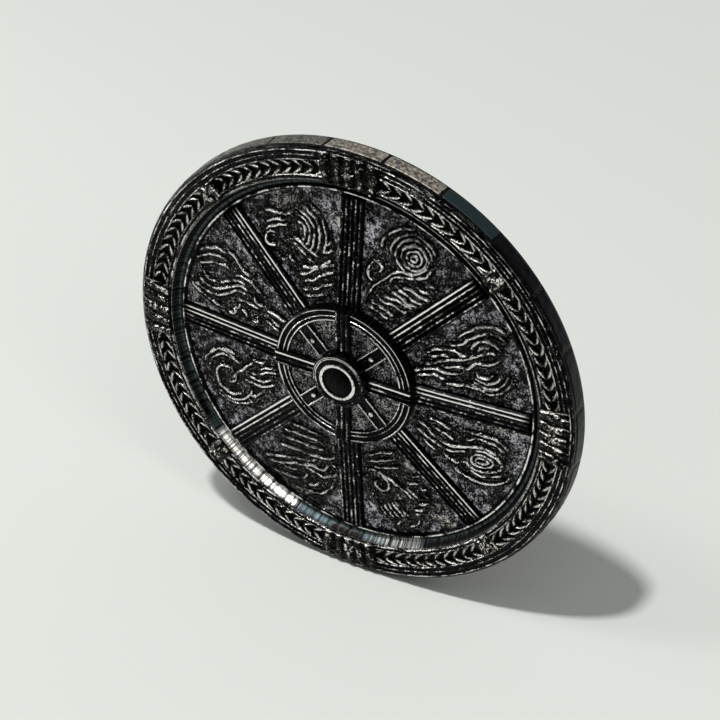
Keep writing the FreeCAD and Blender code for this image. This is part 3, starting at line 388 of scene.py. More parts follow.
# The fine line beside a stroke: its place and half width in half widths of the stroke, and its share of the
# stroke's height
LINE_PLACE, LINE_HALF, LINE_SHARE = 2.05, 0.55, 0.36


def stroke_height(x, y, path, half, height):
    """Height of one embossed ridge and of the fine line beside it, tapered towards both ends."""
    steps = np.diff(path, axis=0)
    length = np.maximum((steps ** 2).sum(1), 1e-9)
    along = np.concatenate([[0], np.cumsum(np.sqrt(length))])
    nearest, place = np.full(x.shape, 1e9), np.zeros(x.shape)
    for i, ((ax, ay), (dx, dy)) in enumerate(zip(path, steps)):
        t = np.clip(((x - ax) * dx + (y - ay) * dy) / length[i], 0, 1)
        gap = np.hypot(x - ax - t * dx, y - ay - t * dy)
        near = gap < nearest
        nearest = np.where(near, gap, nearest)
        place = np.where(near, along[i] + t * (along[i + 1] - along[i]), place)
    closed = np.hypot(*(path[0] - path[-1])) < 1
    to_end = np.minimum(place, along[-1] - place)
    taper = 1.0 if closed else np.clip(to_end / TAPER_LENGTH + TAPER_END, 0, 1)
    main = np.clip(1 - (nearest / half) ** 2, 0, 1) ** 1.15
    line = np.clip(1 - ((nearest - LINE_PLACE * half) / (LINE_HALF * half)) ** 2, 0, 1) * LINE_SHARE
    return height * taper * np.maximum(main, line)


def blurred(values, width):
    """Values of a flat grid averaged over a square, twice."""
    for _ in range(2):
        for axis in (0, 1):
            border = [(width + 1, width) if a == axis else (0, 0) for a in (0, 1)]
            total = np.cumsum(np.pad(values, border, mode="edge"), axis)
            high = np.take(total, range(2 * width + 1, total.shape[axis]), axis)
            low = np.take(total, range(0, total.shape[axis] - 2 * width - 1), axis)
            values = (high - low) / (2 * width + 1)
    return values


def relief_sheet(index, sizes):
    """Heights and marks of one panel's relief on a flat grid, with the grid's first corner and pitch."""
    xs, ys = np.arange(84, 246, RELIEF_PITCH), np.arange(-100, 100.1, RELIEF_PITCH)
    x, y = np.meshgrid(xs, ys, indexing="ij")
    seed = 100 + index * 10
    wx, wy = (v + 1.3 * unevenness(x, y, 11, s) + 0.5 * unevenness(x, y, 4, s + 1)
              for v, s in ((x, seed), (y, seed + 2)))
    full, half = sizes.relief * 1000, sizes.stroke * 500
    height = np.zeros(x.shape)
    for path in SCROLLS[index]:
        low, high = path.min(0) - 8, path.max(0) + 8
        columns, lines = np.searchsorted(xs, (low[0], high[0])), np.searchsorted(ys, (low[1], high[1]))
        part = slice(*columns), slice(*lines)
        height[part] = np.maximum(height[part], stroke_height(wx[part], wy[part], path, half, full))
    body = np.clip(blurred((height > 0.4).astype(float), 6) * 1.8, 0, 1)
    height = height * (0.8 + 0.2 * unevenness(x, y, 7, seed + 4)) + body * SWELLING
    chasing = sizes.chasing * 1000
    height += chasing * body * (1.3 * unevenness(x, y, 3.2, seed + 5) + unevenness(x, y, 1.8, seed + 6))
    height += chasing * (0.8 * unevenness(x, y, 9, seed + 7) + 0.7 * unevenness(x, y, 2.6, seed + 8))
    # Darker where the sheet lies below its surroundings: dirt and painted shade in the cavities
    hollow = np.clip((blurred(height, 2) - height) / 0.65, 0, 1)
    # The outer part is darkened as a painted shadow of the step; the rest of some panels is painted darker
    # too
    outer, inner = PANEL_DARKENING[index]
    darkening = outer * np.clip((x - 185) / 35, 0, 1) + inner * np.clip((195 - x) / 20, 0, 1)
    hollow = np.maximum(hollow, darkening * np.clip(0.75 + 0.8 * unevenness(x, y, 15, seed + 9), 0, 1))
    crest = np.clip((height - 0.72 * full) / (0.3 * full), 0, 1)
    return height, {"hollow": hollow, "worked": body, "crest": crest}, (xs[0], ys[0], RELIEF_PITCH)


def sampled(values, place, x, y):
    """Values of a flat grid at any points, by straight steps between its own."""
    x0, y0, pitch = place
    u, v = (x - x0) / pitch, (y - y0) / pitch
    i = np.clip(np.floor(u).astype(int), 0, values.shape[0] - 2)
    j = np.clip(np.floor(v).astype(int), 0, values.shape[1] - 2)
    a, b = np.clip(u - i, 0, 1), np.clip(v - j, 0, 1)
    return ((values[i, j] * (1 - a) + values[i + 1, j] * a) * (1 - b)
            + (values[i, j + 1] * (1 - a) + values[i + 1, j + 1] * a) * b)


def field_front(along):
    """Height of a panel's plain sheet at a distance along its middle line."""
    apothem = FIELD_OUTER * math.cos(HALF_SECTOR)
    return FIELD_EDGE + (apothem - along) * FIELD_SLOPE + SHEET


def field_hip(radius):
    """Height of the board's ridge under a rib."""
    return field_front(radius * math.cos(HALF_SECTOR)) - SHEET


# Materials

def set_sockets(node, sockets):
    """Gives a node's sockets a number, a colour, or another node's output as a link."""
    for socket, value in sockets.items():
        if isinstance(value, bpy.types.NodeSocket):
            node.id_data.links.new(value, node.inputs[socket])
        elif node.inputs[socket].type == "RGBA":
            node.inputs[socket].default_value = (*value, 1.0)
        else:
            node.inputs[socket].default_value = value


def add_node(tree, kind, sockets=None, output=None, **settings):
    """Adds a node with its settings and links, and gives the output that is asked for, or else the node."""
    node = tree.nodes.new("ShaderNode" + kind)
    for name, value in settings.items():
        setattr(node, name, value)
    set_sockets(node, sockets or {})
    return node if output is None else node.outputs[output]


def new_material(name):
    """An empty node material with its tree and its surface shader."""
    material = bpy.data.materials.new(name)
    material.use_nodes = True
    tree = material.node_tree
    tree.nodes.clear()
    shader = add_node(tree, "BsdfPrincipled")
    add_node(tree, "OutputMaterial", {"Surface": shader.outputs["BSDF"]})
    return material, tree, shader


def per_mm(size):
    """Scale of a pattern in metres whose lumps measure a size in millimetres."""
    return 1000.0 / size


def per_degree(size):
    """Scale of a pattern along an angle in radians whose strokes measure a size in degrees."""
    return 57.3 / size


def paint(colour):
    """A hex colour, or the user's colour of that name, as linear light."""
    if colour.startswith("#"):
        return linear(colour)
    return list(getattr(bpy.context.scene.shield_colours, colour))


def shaded(colour, share):
    """A colour made darker or lighter, no lighter than white."""
    return [min(1.0, part * share) for part in colour]


def blackened_metal(name, black, worn, bare, patch_mm, grain_mm, rough, relief_mm, crest_share=0.28,
                    start=0.73):
    """Black metal, worn through in fine specks and along the crests, where some pieces also carry a painted
    highlight, with near black dirt and painted shade in the hollows.
    """
    material, tree, shader = new_material(name)
    place = add_node(tree, "TexCoord", output="Object")
    patch = add_node(tree, "TexNoise", {"Vector": place, "Scale": per_mm(patch_mm), "Detail": 3.0,
                                        "Roughness": 0.6}, "Fac")
    grain = add_node(tree, "TexNoise", {"Vector": place, "Scale": per_mm(grain_mm), "Detail": 3.0,
                                        "Roughness": 0.75}, "Fac")
    crest = add_node(tree, "Attribute", output="Fac", attribute_name="crest")
    hollow = add_node(tree, "Attribute", output="Fac", attribute_name="hollow")
    wear = add_node(tree, "Math", {0: patch, 1: 0.45, 2: grain}, 0, operation="MULTIPLY_ADD")
    # The crest mark adds wear, and on the ribs, hub ribs, plaques and boss collar also a painted highlight
    wear = add_node(tree, "Math", {0: crest, 1: crest_share, 2: wear}, 0, operation="MULTIPLY_ADD")
    worn_share, bare_share = (
        add_node(tree, "MapRange", {"Value": wear, "From Min": start + low, "From Max": start + high}, 0)
        for low, high in ((0.0, 0.08), (0.09, 0.22)))
    colour = add_node(tree, "Mix", {0: worn_share, 6: paint(black), 7: paint(worn)}, 2, data_type="RGBA")
    colour = add_node(tree, "Mix", {0: bare_share, 6: colour, 7: paint(bare)}, 2, data_type="RGBA")
    # The mark of dirt and painted shade turns recesses, down-facing sides and shadowed parts near black
    colour = add_node(tree, "Mix", {0: hollow, 6: colour, 7: paint(DIRT_AND_SHADE)}, 2, data_type="RGBA")
    roughness = add_node(tree, "MapRange", {"Value": grain, "From Min": 0.35, "From Max": 0.65,
                                            "To Min": rough[0], "To Max": rough[1]}, 0)
    bump = add_node(tree, "Bump", {"Height": grain, "Strength": 1.0, "Distance": relief_mm / 1000}, 0)
    set_sockets(shader, {"Base Color": colour, "Metallic": 1.0, "Roughness": roughness, "Normal": bump})
    return material


def browned_plates(name, worn, dark, blue_green_reflection, grain_mm):
    """Iron plates of the edge: most are black; the top ones are painted pale brown or mottled, which is
    painted light where light from above falls, and one is blue-green, a painted reflection.
    """
    material, tree, shader = new_material(name)
    place = add_node(tree, "TexCoord", output="Object")
    # The tint mark carries painted light on the top plates, drawn in the worn colours, and a painted
    # reflection on one plate, drawn in blue-green
    tint = add_node(tree, "Attribute", output="Fac", attribute_name="tint")
    grain = add_node(tree, "TexNoise", {"Vector": place, "Scale": per_mm(grain_mm), "Detail": 5.0,
                                        "Roughness": 0.65}, "Fac")
    patch = add_node(tree, "MapRange", {"Value": grain, "From Min": 0.4, "From Max": 0.62}, 0)
    blue = add_node(tree, "MapRange", {"Value": tint, "From Min": 0.1, "From Max": 0.4}, 0)
    pale = add_node(tree, "MapRange", {"Value": tint, "From Min": 0.6, "From Max": 0.9}, 0)
    worn, dark = (add_node(tree, "Mix", {0: patch, 6: paint(low), 7: paint(high)}, 2, data_type="RGBA")
                  for low, high in (worn, dark))
    base = add_node(tree, "Mix", {0: blue, 6: dark, 7: paint(blue_green_reflection)}, 2, data_type="RGBA")
    base = add_node(tree, "Mix", {0: pale, 6: base, 7: worn}, 2, data_type="RGBA")
    bump = add_node(tree, "Bump", {"Height": grain, "Strength": 1.0, "Distance": 0.0007}, 0)
    set_sockets(shader, {"Base Color": base, "Metallic": 0.5, "Roughness": 0.4, "Specular IOR Level": 0.15,
                         "Normal": bump})
    return material


def patinated_iron(name, patina):
    """Embossed iron sheet: pitted grey ground, pale where rubbed, and black ridges with bright crests."""
    material, tree, shader = new_material(name)
    place = add_node(tree, "TexCoord", output="Object")
    cloud, blotch, grain, tone = (
        add_node(tree, "TexNoise", {"Vector": place, "Scale": per_mm(size), "Detail": detail,
                                    "Roughness": rough}, "Fac")
        for size, detail, rough in ((34, 4.0, 0.6), (7, 3.0, 0.65), (2.2, 3.0, 0.75), (60, 2.0, 0.6)))
    worked, hollow, crest = (add_node(tree, "Attribute", output="Fac", attribute_name=mark)
                             for mark in ("worked", "hollow", "crest"))
    speck = add_node(tree, "Math", {0: blotch, 1: 0.8, 2: grain}, 0, operation="MULTIPLY_ADD")
    speck = add_node(tree, "Math", {0: cloud, 1: 0.5, 2: speck}, 0, operation="MULTIPLY_ADD")
    wear = add_node(tree, "Math", {0: blotch, 1: 0.3, 2: grain}, 0, operation="MULTIPLY_ADD")
    wear = add_node(tree, "Math", {0: crest, 1: 0.27, 2: wear}, 0, operation="MULTIPLY_ADD")
    warm, clear, rubbed, greyed, bright = (
        add_node(tree, "MapRange", {"Value": value, "From Min": low, "From Max": high}, 0)
        for value, low, high in ((tone, 0.5, 0.64), (speck, 1.12, 1.19), (speck, 1.2, 1.32),
                                 (wear, 0.68, 0.75), (wear, 0.75, 0.86)))
    pale = add_node(tree, "Mix", {0: warm, 6: [part * 6 for part in paint(patina)], 7: paint("#ece2d3")}, 2,
                    data_type="RGBA")
    ground = add_node(tree, "Mix", {0: clear, 6: paint("#010101"), 7: paint(patina)}, 2, data_type="RGBA")
    ground = add_node(tree, "Mix", {0: rubbed, 6: ground, 7: pale}, 2, data_type="RGBA")
    ridge = add_node(tree, "Mix", {0: greyed, 6: paint("#030303"), 7: paint("#565555")}, 2, data_type="RGBA")
    ridge = add_node(tree, "Mix", {0: bright, 6: ridge, 7: paint("#f4f1ec")}, 2, data_type="RGBA")
    colour = add_node(tree, "Mix", {0: worked, 6: ground, 7: ridge}, 2, data_type="RGBA")
    # The mark of dirt and painted shade turns recesses, and the parts in the step's painted shadow, near
    # black
    colour = add_node(tree, "Mix", {0: hollow, 6: colour, 7: paint(DIRT_AND_SHADE)}, 2, data_type="RGBA")
    metallic, roughness = (
        add_node(tree, "MapRange", {"Value": worked, "From Min": 0.0, "From Max": 1.0, "To Min": low,
                                    "To Max": high}, 0)
        for low, high in ((0.35, 1.0), (0.45, 0.24)))
    bump = add_node(tree, "Bump", {"Height": speck, "Strength": 1.0, "Distance": 0.0012}, 0)
    set_sockets(shader, {"Base Color": colour, "Metallic": metallic, "Roughness": roughness,
                         "Specular IOR Level": 0.1, "Normal": bump})
    return material


def polished_steel(name, steel, stained, streak_deg):
    """Steel polished straight across the ring: bright where it is unstained and where a reflection of the
    light is painted on, near black where it is stained.
    """
    material, tree, shader = new_material(name)
    place = add_node(tree, "TexCoord", output="Object")
    apart = add_node(tree, "SeparateXYZ", {0: place})
    turn = add_node(tree, "Math", {0: apart.outputs["Z"], 1: apart.outputs["X"]}, 0, operation="ARCTAN2")
    fine, bars = (
        add_node(tree, "TexNoise", {"W": turn, "Scale": per_degree(streak), "Detail": detail,
                                    "Roughness": rough}, "Fac", noise_dimensions="1D")
        for streak, detail, rough in ((streak_deg, 3.0, 0.7), (3 * streak_deg, 1.0, 0.5)))
    both = add_node(tree, "Math", {0: bars, 1: 1.0, 2: fine}, 0, operation="MULTIPLY_ADD")
    clean = add_node(tree, "Attribute", output="Fac", attribute_name="clean")
    tone, sooty, dulled, shining = (
        add_node(tree, "MapRange", {"Value": value, "From Min": low, "From Max": high}, 0)
        for value, low, high in ((both, 0.85, 1.1), (fine, 0.5, 0.75), (clean, 0.05, 0.3), (clean, 0.5, 0.9)))
    bright, dull = (
        add_node(tree, "Mix", {0: tone, 6: shaded(paint(tint), low), 7: shaded(paint(tint), high)}, 2,
                 data_type="RGBA")
        for tint, low, high in ((steel, 0.2, 1.9), (stained, 0.15, 1.3)))
    colour = add_node(tree, "Mix", {0: sooty, 6: paint("#060505"), 7: paint("#3a3634")}, 2, data_type="RGBA")
    colour = add_node(tree, "Mix", {0: dulled, 6: colour, 7: dull}, 2, data_type="RGBA")
    colour = add_node(tree, "Mix", {0: shining, 6: colour, 7: bright}, 2, data_type="RGBA")
    roughness = add_node(tree, "MapRange", {"Value": clean, "From Min": 0.5, "From Max": 0.9, "To Min": 0.34,
                                            "To Max": 0.2}, 0)
    bump = add_node(tree, "Bump", {"Height": fine, "Strength": 0.6, "Distance": 0.0007}, 0)
    set_sockets(shader, {"Base Color": colour, "Metallic": 1.0, "Roughness": roughness, "Normal": bump})
    return material


def leather(name, colour, pore_mm, gloss, share=1.0):
    """Vegetable-tanned leather: pebbled grain, worn paler on the high places, darker in the creases."""
    material, tree, shader = new_material(name)
    place = add_node(tree, "TexCoord", output="Object")
    colour = [part * share for part in paint(colour)]
    cells = add_node(tree, "TexVoronoi", {"Vector": place, "Scale": per_mm(pore_mm)}, "Distance")
    wear = add_node(tree, "TexNoise", {"Vector": place, "Scale": per_mm(22), "Detail": 5.0,
                                       "Roughness": 0.65}, "Fac")
    tone = add_node(tree, "MapRange", {"Value": wear, "From Min": 0.35, "From Max": 0.68}, 0)
    crease = add_node(tree, "MapRange", {"Value": cells, "From Min": 0.25, "From Max": 0.75}, 0)
    base = add_node(tree, "Mix", {0: tone, 6: shaded(colour, 0.45), 7: colour}, 2, data_type="RGBA")
    base = add_node(tree, "Mix", {0: crease, 6: base, 7: shaded(colour, 0.5)}, 2, data_type="RGBA")
    bump = add_node(tree, "Bump", {"Height": cells, "Strength": 0.6, "Distance": -0.0004}, 0)
    set_sockets(shader, {"Base Color": base, "Roughness": gloss, "Specular IOR Level": 0.35, "Normal": bump})
    return material


def limewood(name, colour, grain_mm):
    """Oiled limewood: faint straight grain along the boards, a little darker in the pores."""
    material, tree, shader = new_material(name)
    place = add_node(tree, "TexCoord", output="Object")
    colour = paint(colour)
    stretched = add_node(tree, "Mapping", {"Vector": place, "Scale": (0.03, 1.0, 1.0)}, 0)
    grain = add_node(tree, "TexNoise", {"Vector": stretched, "Scale": per_mm(grain_mm), "Detail": 6.0,
                                        "Roughness": 0.7}, "Fac")
    tone = add_node(tree, "MapRange", {"Value": grain, "From Min": 0.38, "From Max": 0.58}, 0)
    base = add_node(tree, "Mix", {0: tone, 6: shaded(colour, 0.45), 7: colour}, 2, data_type="RGBA")
    bump = add_node(tree, "Bump", {"Height": grain, "Strength": 0.5, "Distance": 0.0004}, 0)
    set_sockets(shader, {"Base Color": base, "Roughness": 0.55, "Normal": bump})
    return material


# Near black of dirt and of painted shade, laid on recesses, down-facing sides and shadowed parts
DIRT_AND_SHADE = "#020202"
# The maker and the values of each finish. A colour is a hex code or the name of one of the user's colours.
# Real grains and pores are finer than the picture can show, so they are drawn coarser, at about 2 mm
FINISHES = {
    # Chiselled and rubbed: black, with the highest lines bare
    "Blackened iron, chased": (blackened_metal, dict(
        black="#0b0b0c", worn="iron", bare="#ece9e4", patch_mm=9, grain_mm=2.2, rough=(0.14, 0.28),
        relief_mm=1.0, crest_share=0.36, start=0.83)),
    # Filed along its length: smoother, with clean bright edges
    "Blackened iron, filed": (blackened_metal, dict(
        black="#0e0e0f", worn="iron", bare="#f4f2ee", patch_mm=14, grain_mm=2.4, rough=(0.14, 0.22),
        relief_mm=0.4, start=0.82)),
    # Sand-cast and blackened: grainy, a little warm where it is worn
    "Blackened bronze, cast": (blackened_metal, dict(
        black="#0a0a09", worn="bronze", bare="#f0ebe2", patch_mm=7, grain_mm=2.0, rough=(0.14, 0.28),
        relief_mm=1.2, crest_share=0.38, start=0.78)),
    # Hammered flat and left grey: speckled and dull
    "Hammered iron, grey": (blackened_metal, dict(
        black="#070708", worn="#8a888c", bare="#ece6de", patch_mm=12, grain_mm=2.6, rough=(0.22, 0.42),
        relief_mm=1.2, crest_share=0.2, start=0.72)),
    # Forged and waxed: brown-black scale with soft glints
    "Forged iron, waxed": (blackened_metal, dict(
        black="#2e2c2b", worn="#55514d", bare="#a49c93", patch_mm=9, grain_mm=3.0, rough=(0.26, 0.42),
        relief_mm=0.5)),
    # Fired enamel: an even, glossy black
    "Black glass enamel": (blackened_metal, dict(
        black="#020202", worn="#060606", bare="#0a0a0a", patch_mm=8, grain_mm=3.0, rough=(0.1, 0.2),
        relief_mm=0.8, crest_share=0.0)),
    # Bent from sheet and browned: black, with painted light in pale brown on the top plates and a painted
    # reflection in blue-green on one
    "Browned iron, plates": (browned_plates, dict(
        worn=("#4c4843", "#b9b0a2"), dark=("#030303", "#111010"), blue_green_reflection="#28363a", grain_mm=4)),
    # Embossed from behind, chased and left to darken: pitted grey round black ridges with bright crests
    "Embossed iron, patinated": (patinated_iron, dict(patina="patina")),
    # Polished across its width: bright and dark strokes, drawn about 2 mm broad so that they show
    "Polished steel, cross-marked": (polished_steel, dict(steel="steel", stained="#343d3f", streak_deg=0.45)),
    # Burnished by hand: the same strokes, a little broader
    "Burnished steel, hub": (polished_steel, dict(steel="steel", stained="#2f393b", streak_deg=1.6)),
    # Vegetable-tanned and waxed: brown, with darker creases
    "Strap leather": (leather, dict(colour="leather", pore_mm=1.6, gloss=0.5)),
    # Softer hide, rubbed pale by the arm
    "Pad leather": (leather, dict(colour="leather", pore_mm=2.2, gloss=0.5, share=1.25)),
    # Thin hide, darkened with age
    "Lining leather": (leather, dict(colour="leather", pore_mm=2.0, gloss=0.6, share=0.6)),
    # Twisted thread, drawn through wax: pale, matt and lumpy
    "Waxed linen thread": (leather, dict(colour="#cdbb92", pore_mm=0.8, gloss=0.7)),
    # Turned and oiled: pale brown with a faint grain
    "Limewood, oiled": (limewood, dict(colour="wood", grain_mm=2.2)),
}


def finish(name):
    """The material of a name, made the first time that a piece asks for it."""
    if name not in bpy.data.materials:
        maker, values = FINISHES[name]
        maker(name, **values)
    return bpy.data.materials[name]


def refinish(node, name):
    """A finish on a node of the frame that is shown as it is."""
    materials = bpy.data.objects[node].data.materials
    materials.clear()
    materials.append(finish(name))


# Operators: one for each piece or group of like pieces

# Half the floor's side and its level, the distances and sizes of the lights and the camera's place, in metres
FLOOR_HALF, FLOOR_LEVEL = 9.0, -0.3
SUN_DIRECTION, SUN_STRENGTH, SUN_SPREAD = (0.16, 0.30, -1.0), 2.05, math.radians(4)
SOFT_BOX_DISTANCE, SIDE_LIGHT_DISTANCE = 2.6, 2.8
SOFT_BOXES = (("top_light", (-0.40, -0.28, 0.87), 0.5, 12.0),
              ("left_light", (-0.97, -0.06, 0.05), 0.45, 14.0))
SIDE_LIGHT_TOWARDS, SIDE_LIGHT_ALONG = (0.52, -0.40, 0.75), (0.69, 0.0, -0.50)
CAMERA_PLACE, CAMERA_DIRECTION = (1.3557, -2.3520, 1.8984), (-0.40958, 0.70941, -0.57358)


def facing(direction):
    """The rotation of a light or camera that looks in a direction."""
    return Vector(direction).to_track_quat("-Z", "Y").to_euler()


class BuildStage(bpy.types.Operator):
    """Floor, light and camera"""
    bl_idname = "shield.build_stage"
    bl_label = "Stage"

    def execute(self, context):
        scene = context.scene
        self.floor(scene)
        self.put(scene, bpy.data.lights.new("key_light", "SUN"), (0, 0, 0), facing(SUN_DIRECTION),
                 energy=SUN_STRENGTH, angle=SUN_SPREAD)
        for name, towards, size, strength in SOFT_BOXES:
            self.put(scene, bpy.data.lights.new(name, "AREA"), Vector(towards) * SOFT_BOX_DISTANCE,
                     facing(-Vector(towards)), shape="SQUARE", size=size, energy=strength)
        place, along = Vector(SIDE_LIGHT_TOWARDS) * SIDE_LIGHT_DISTANCE, Vector(SIDE_LIGHT_ALONG)
        ahead = -place.normalized()
        axes = Matrix((along.normalized(), ahead.cross(along).normalized() * -1, -ahead)).transposed()
        self.put(scene, bpy.data.lights.new("side_light", "AREA"), place, axes.to_euler(),
                 shape="RECTANGLE", size=2.6, size_y=0.5, energy=11.0)
        scene.camera = self.put(scene, bpy.data.cameras.new("camera"), CAMERA_PLACE,
                                facing(CAMERA_DIRECTION), lens=137.5, sensor_width=36.0, clip_end=60.0)
        scene.world = bpy.data.worlds.new("soft_room")
        scene.world.use_nodes = True
        tree = scene.world.node_tree
        tree.nodes.clear()
        sky = add_node(tree, "Background", {"Color": (0.95, 0.98, 1.0), "Strength": 0.25}, 0)
        add_node(tree, "OutputWorld", {"Surface": sky})
        scene.view_settings.view_transform = "Standard"
        return {"FINISHED"}

    def floor(self, scene):
        """Plain matt paper under and behind the shield."""
        mesh = bpy.data.meshes.new("floor")
        corners = [(x * FLOOR_HALF, y * FLOOR_HALF, FLOOR_LEVEL)
                   for x, y in ((-1, -1), (1, -1), (1, 1), (-1, 1))]
        fill_mesh(mesh, corners, [(0, 1, 2, 3)], {})
        floor = bpy.data.objects.new("floor", mesh)
        scene.collection.objects.link(floor)
        material, _, shader = new_material("Matt paper backdrop")
        set_sockets(shader, {"Base Color": linear("#d8dbd5"), "Roughness": 0.9, "Specular IOR Level": 0.0})
        mesh.materials.append(material)

    def put(self, scene, data, place, turn, **settings):
        """A light or the camera at its place, with its settings."""
        for setting, value in settings.items():
            setattr(data, setting, value)
        made = bpy.data.objects.new(data.name, data)
        made.location, made.rotation_euler = place, turn
        scene.collection.objects.link(made)
        return made


# Front of the rim without its beads, from the lip to the outer edge, as (radius, height)
RIM_PROFILE = ((255.8, 27.0), (256.4, 28.1), (257.2, 28.4), (261.2, 28.6), (261.9, 28.9), (263.0, 27.4),
               (263.6, 25.9), (280.0, 25.9), (280.8, 27.6), (282.4, 28.0), (296.6, 28.0), (298.0, 27.0),
               (298.8, 25.4))
# Beads and edges of the lip as (middle, half width, height)
RIM_BEADS = ((281.8, 1.6, 2.3), (288.2, 1.7, 2.2), (294.4, 1.8, 2.1), (258.2, 1.3, 1.3), (261.6, 1.2, 1.1))
# Lines rubbed bright as (middle, half width, share)
RIM_LINES = ((256.9, 0.9, 1.0), (262.0, 0.8, 0.9), (281.8, 0.8, 0.8), (288.2, 0.7, 0.6), (294.4, 0.7, 0.9),
             (298.2, 0.6, 1.1))
RIM_WALL = ((RIM_RADIUS, 24.0), (RIM_RADIUS, 12.0), (RIM_RADIUS, 0.0), (297.6, 0.0))
RIM_LIMIT, RIM_STEPS = 30.4, 1500
# Edge plates: how many, the radius of the disc, their lowest and highest level and their thickness
PLATES, DISC_RADIUS, PLATE_LOW, PLATE_HIGH, PLATE_THICKNESS = 24, 300, 1.5, 21.5, 1.15
# Tint of the plates that aren't black: painted light, pale or mottled, on the plates at the top, and a
# painted reflection, blue-green, on one
PLATE_LIGHT_AND_TINTS = {5: 1.0, 6: 1.0, 7: 0.75, 8: 0.75, 9: 0.75, 4: 0.5}


def rim_wander(angle):
    """How far a chased line of the rim strays from its circle."""
    return 0.35 * unevenness(angle * BEADS_INNER, 3, 14, 11)


def rim_height(radius, angle):
    """Height of the rim's front: three chased beads, a sunk band and the inner lip."""
    height = np.interp(radius, *zip(*RIM_PROFILE)) + 0 * angle
    for middle, half, high in RIM_BEADS:
        nicks = 0.8 + 0.2 * unevenness(angle * BEADS_INNER, middle, 3.4, int(middle))
        off = np.abs((radius - middle - rim_wander(angle)) / half)
        height = height + high * nicks * np.clip(1 - off ** 1.2, 0, 1)
    return height


class BuildRim(bpy.types.Operator):
    """Rim shell, its beads and the plates round its edge"""
    bl_idname = "shield.build_rim"
    bl_label = "Rim"

    def execute(self, context):
        chased = context.scene.shield_sizes.chasing * 1000
        angle = np.linspace(0, 2 * math.pi, RIM_STEPS, endpoint=False)[None, :]
        radius = np.concatenate([
            np.arange(LIP_INNER, BAND_INNER, 0.5), np.arange(BAND_INNER, BEADS_INNER, 2.2),
            np.arange(BEADS_INNER, RIM_RADIUS, 0.45), [RIM_RADIUS]])[:, None]
        arc = angle * radius
        rough = 0.6 * unevenness(arc, radius, 3.0, 21) + 0.8 * unevenness(arc, radius, 6.5, 22)
        height = np.minimum(rim_height(radius, angle) + chased * rough, RIM_LIMIT)
        crest = np.zeros(height.shape)
        for middle, half, share in RIM_LINES:
            wander = rim_wander(angle) * (middle > BEADS_INNER)
            worn = 0.8 + 0.6 * unevenness(arc, middle, 8, int(middle)) + 0.3 * unevenness(
                arc, middle, 40, int(middle) + 1)
            line = np.clip(1.6 - np.abs(radius - middle - wander) / half, 0, 1)
            crest = np.maximum(crest, share * worn * line)
        crest = np.maximum(crest, 0.45 * np.clip(unevenness(arc, radius, 30, 24) - 0.15, 0, 1))
        front = np.stack([radius * np.cos(angle), radius * np.sin(angle), height], -1)
        points = np.concatenate([ring_points([(LIP_INNER, 24.5)], RIM_STEPS), front,
                                 ring_points(RIM_WALL, RIM_STEPS)])
        # Dirt and painted shade: near black where the front lies low between its beads
        marks = {"hollow": np.clip((28.4 - height) / 1.4, 0, 1), "crest": crest}
        marks = {name: np.pad(mark, ((1, len(RIM_WALL)), (0, 0))) for name, mark in marks.items()}
        add_grid("rim_front", points, finish("Blackened iron, chased"), "rim_iron", closed=True,
                 nodes=["rim_shell"], sharp=70, marks=marks)
        self.plates()
        return {"FINISHED"}

    def plates(self):
        """Bent plates with bevelled edges, laid end to end."""
        half = math.pi / PLATES - 1.1 / DISC_RADIUS
        angle = np.linspace(-half, half, 25)[None, :]
        level = np.concatenate([[PLATE_LOW, 2.1], np.linspace(3.2, 19.8, 9), [20.9, PLATE_HIGH]])[:, None]
        edge = np.minimum(np.minimum(level - PLATE_LOW, PLATE_HIGH - level),
                          (half - np.abs(angle)) * DISC_RADIUS / 1.2)
        grids = []
        for i in range(PLATES):
            out = RIM_RADIUS + PLATE_THICKNESS * np.clip(edge, 0, 1) ** 0.5
            out = out + 0.35 * unevenness(angle * DISC_RADIUS + i * 90, level, 6, 31) - 0.3
            turn = angle + math.radians(360 / PLATES * i)
            grids.append(np.stack(np.broadcast_arrays(out * np.cos(turn), out * np.sin(turn), level), -1))
        light_and_tints = [np.full(grids[i].shape[:2], PLATE_LIGHT_AND_TINTS.get(i, 0.0)) for i in range(PLATES)]
        add_grids("edge_plates_bent", grids, finish("Browned iron, plates"), "edge_plate_iron", flip=True,
                  nodes=["edge_plates"], marks={"tint": light_and_tints})


# Polished step from the lip down to its foot, as (radius, height)
STEP_SECTION = ((255.8, 24.0), (255.7, 27.2), (255.2, 27.4), (254.6, 26.9), (252.2, 22.6), (249.8, 18.5),
                (249.2, 17.9), (248.2, 17.8), (244.2, 17.8), (244.2, 16.6))
# How bright and unstained each of these points is, foot first, and round the shield by degrees; the bright
# band from 222 to 250 degrees and the weaker one from 275 to 292 are painted reflections of the light, the
# dark rest is stained steel
STEP_ROWS_CLEAN = (0.0, 0.0, 0.3, 0.6, 0.3, 0.0, 0.0, 0.9, 0.9, 0.9)
STEP_CLEAN_AND_REFLECTION = ((0, 0.0), (90, 0.1), (160, 0.1), (205, 0.12), (214, 0.0), (217, 0.35), (219, 0.35), (222, 1),
              (250, 1), (252, 0.35), (262, 0.35), (264, 0.0), (273, 0.0), (275, 0.5), (292, 0.66),
              (295, 0.0), (360, 0.0))
STEP_STEPS, BEAD_STEPS = 720, 1500
BEAD_MIDDLE, BEAD_HALF, BEAD_HEIGHT = 242.2, 4.0, 3.1
BEAD_ARC = 242


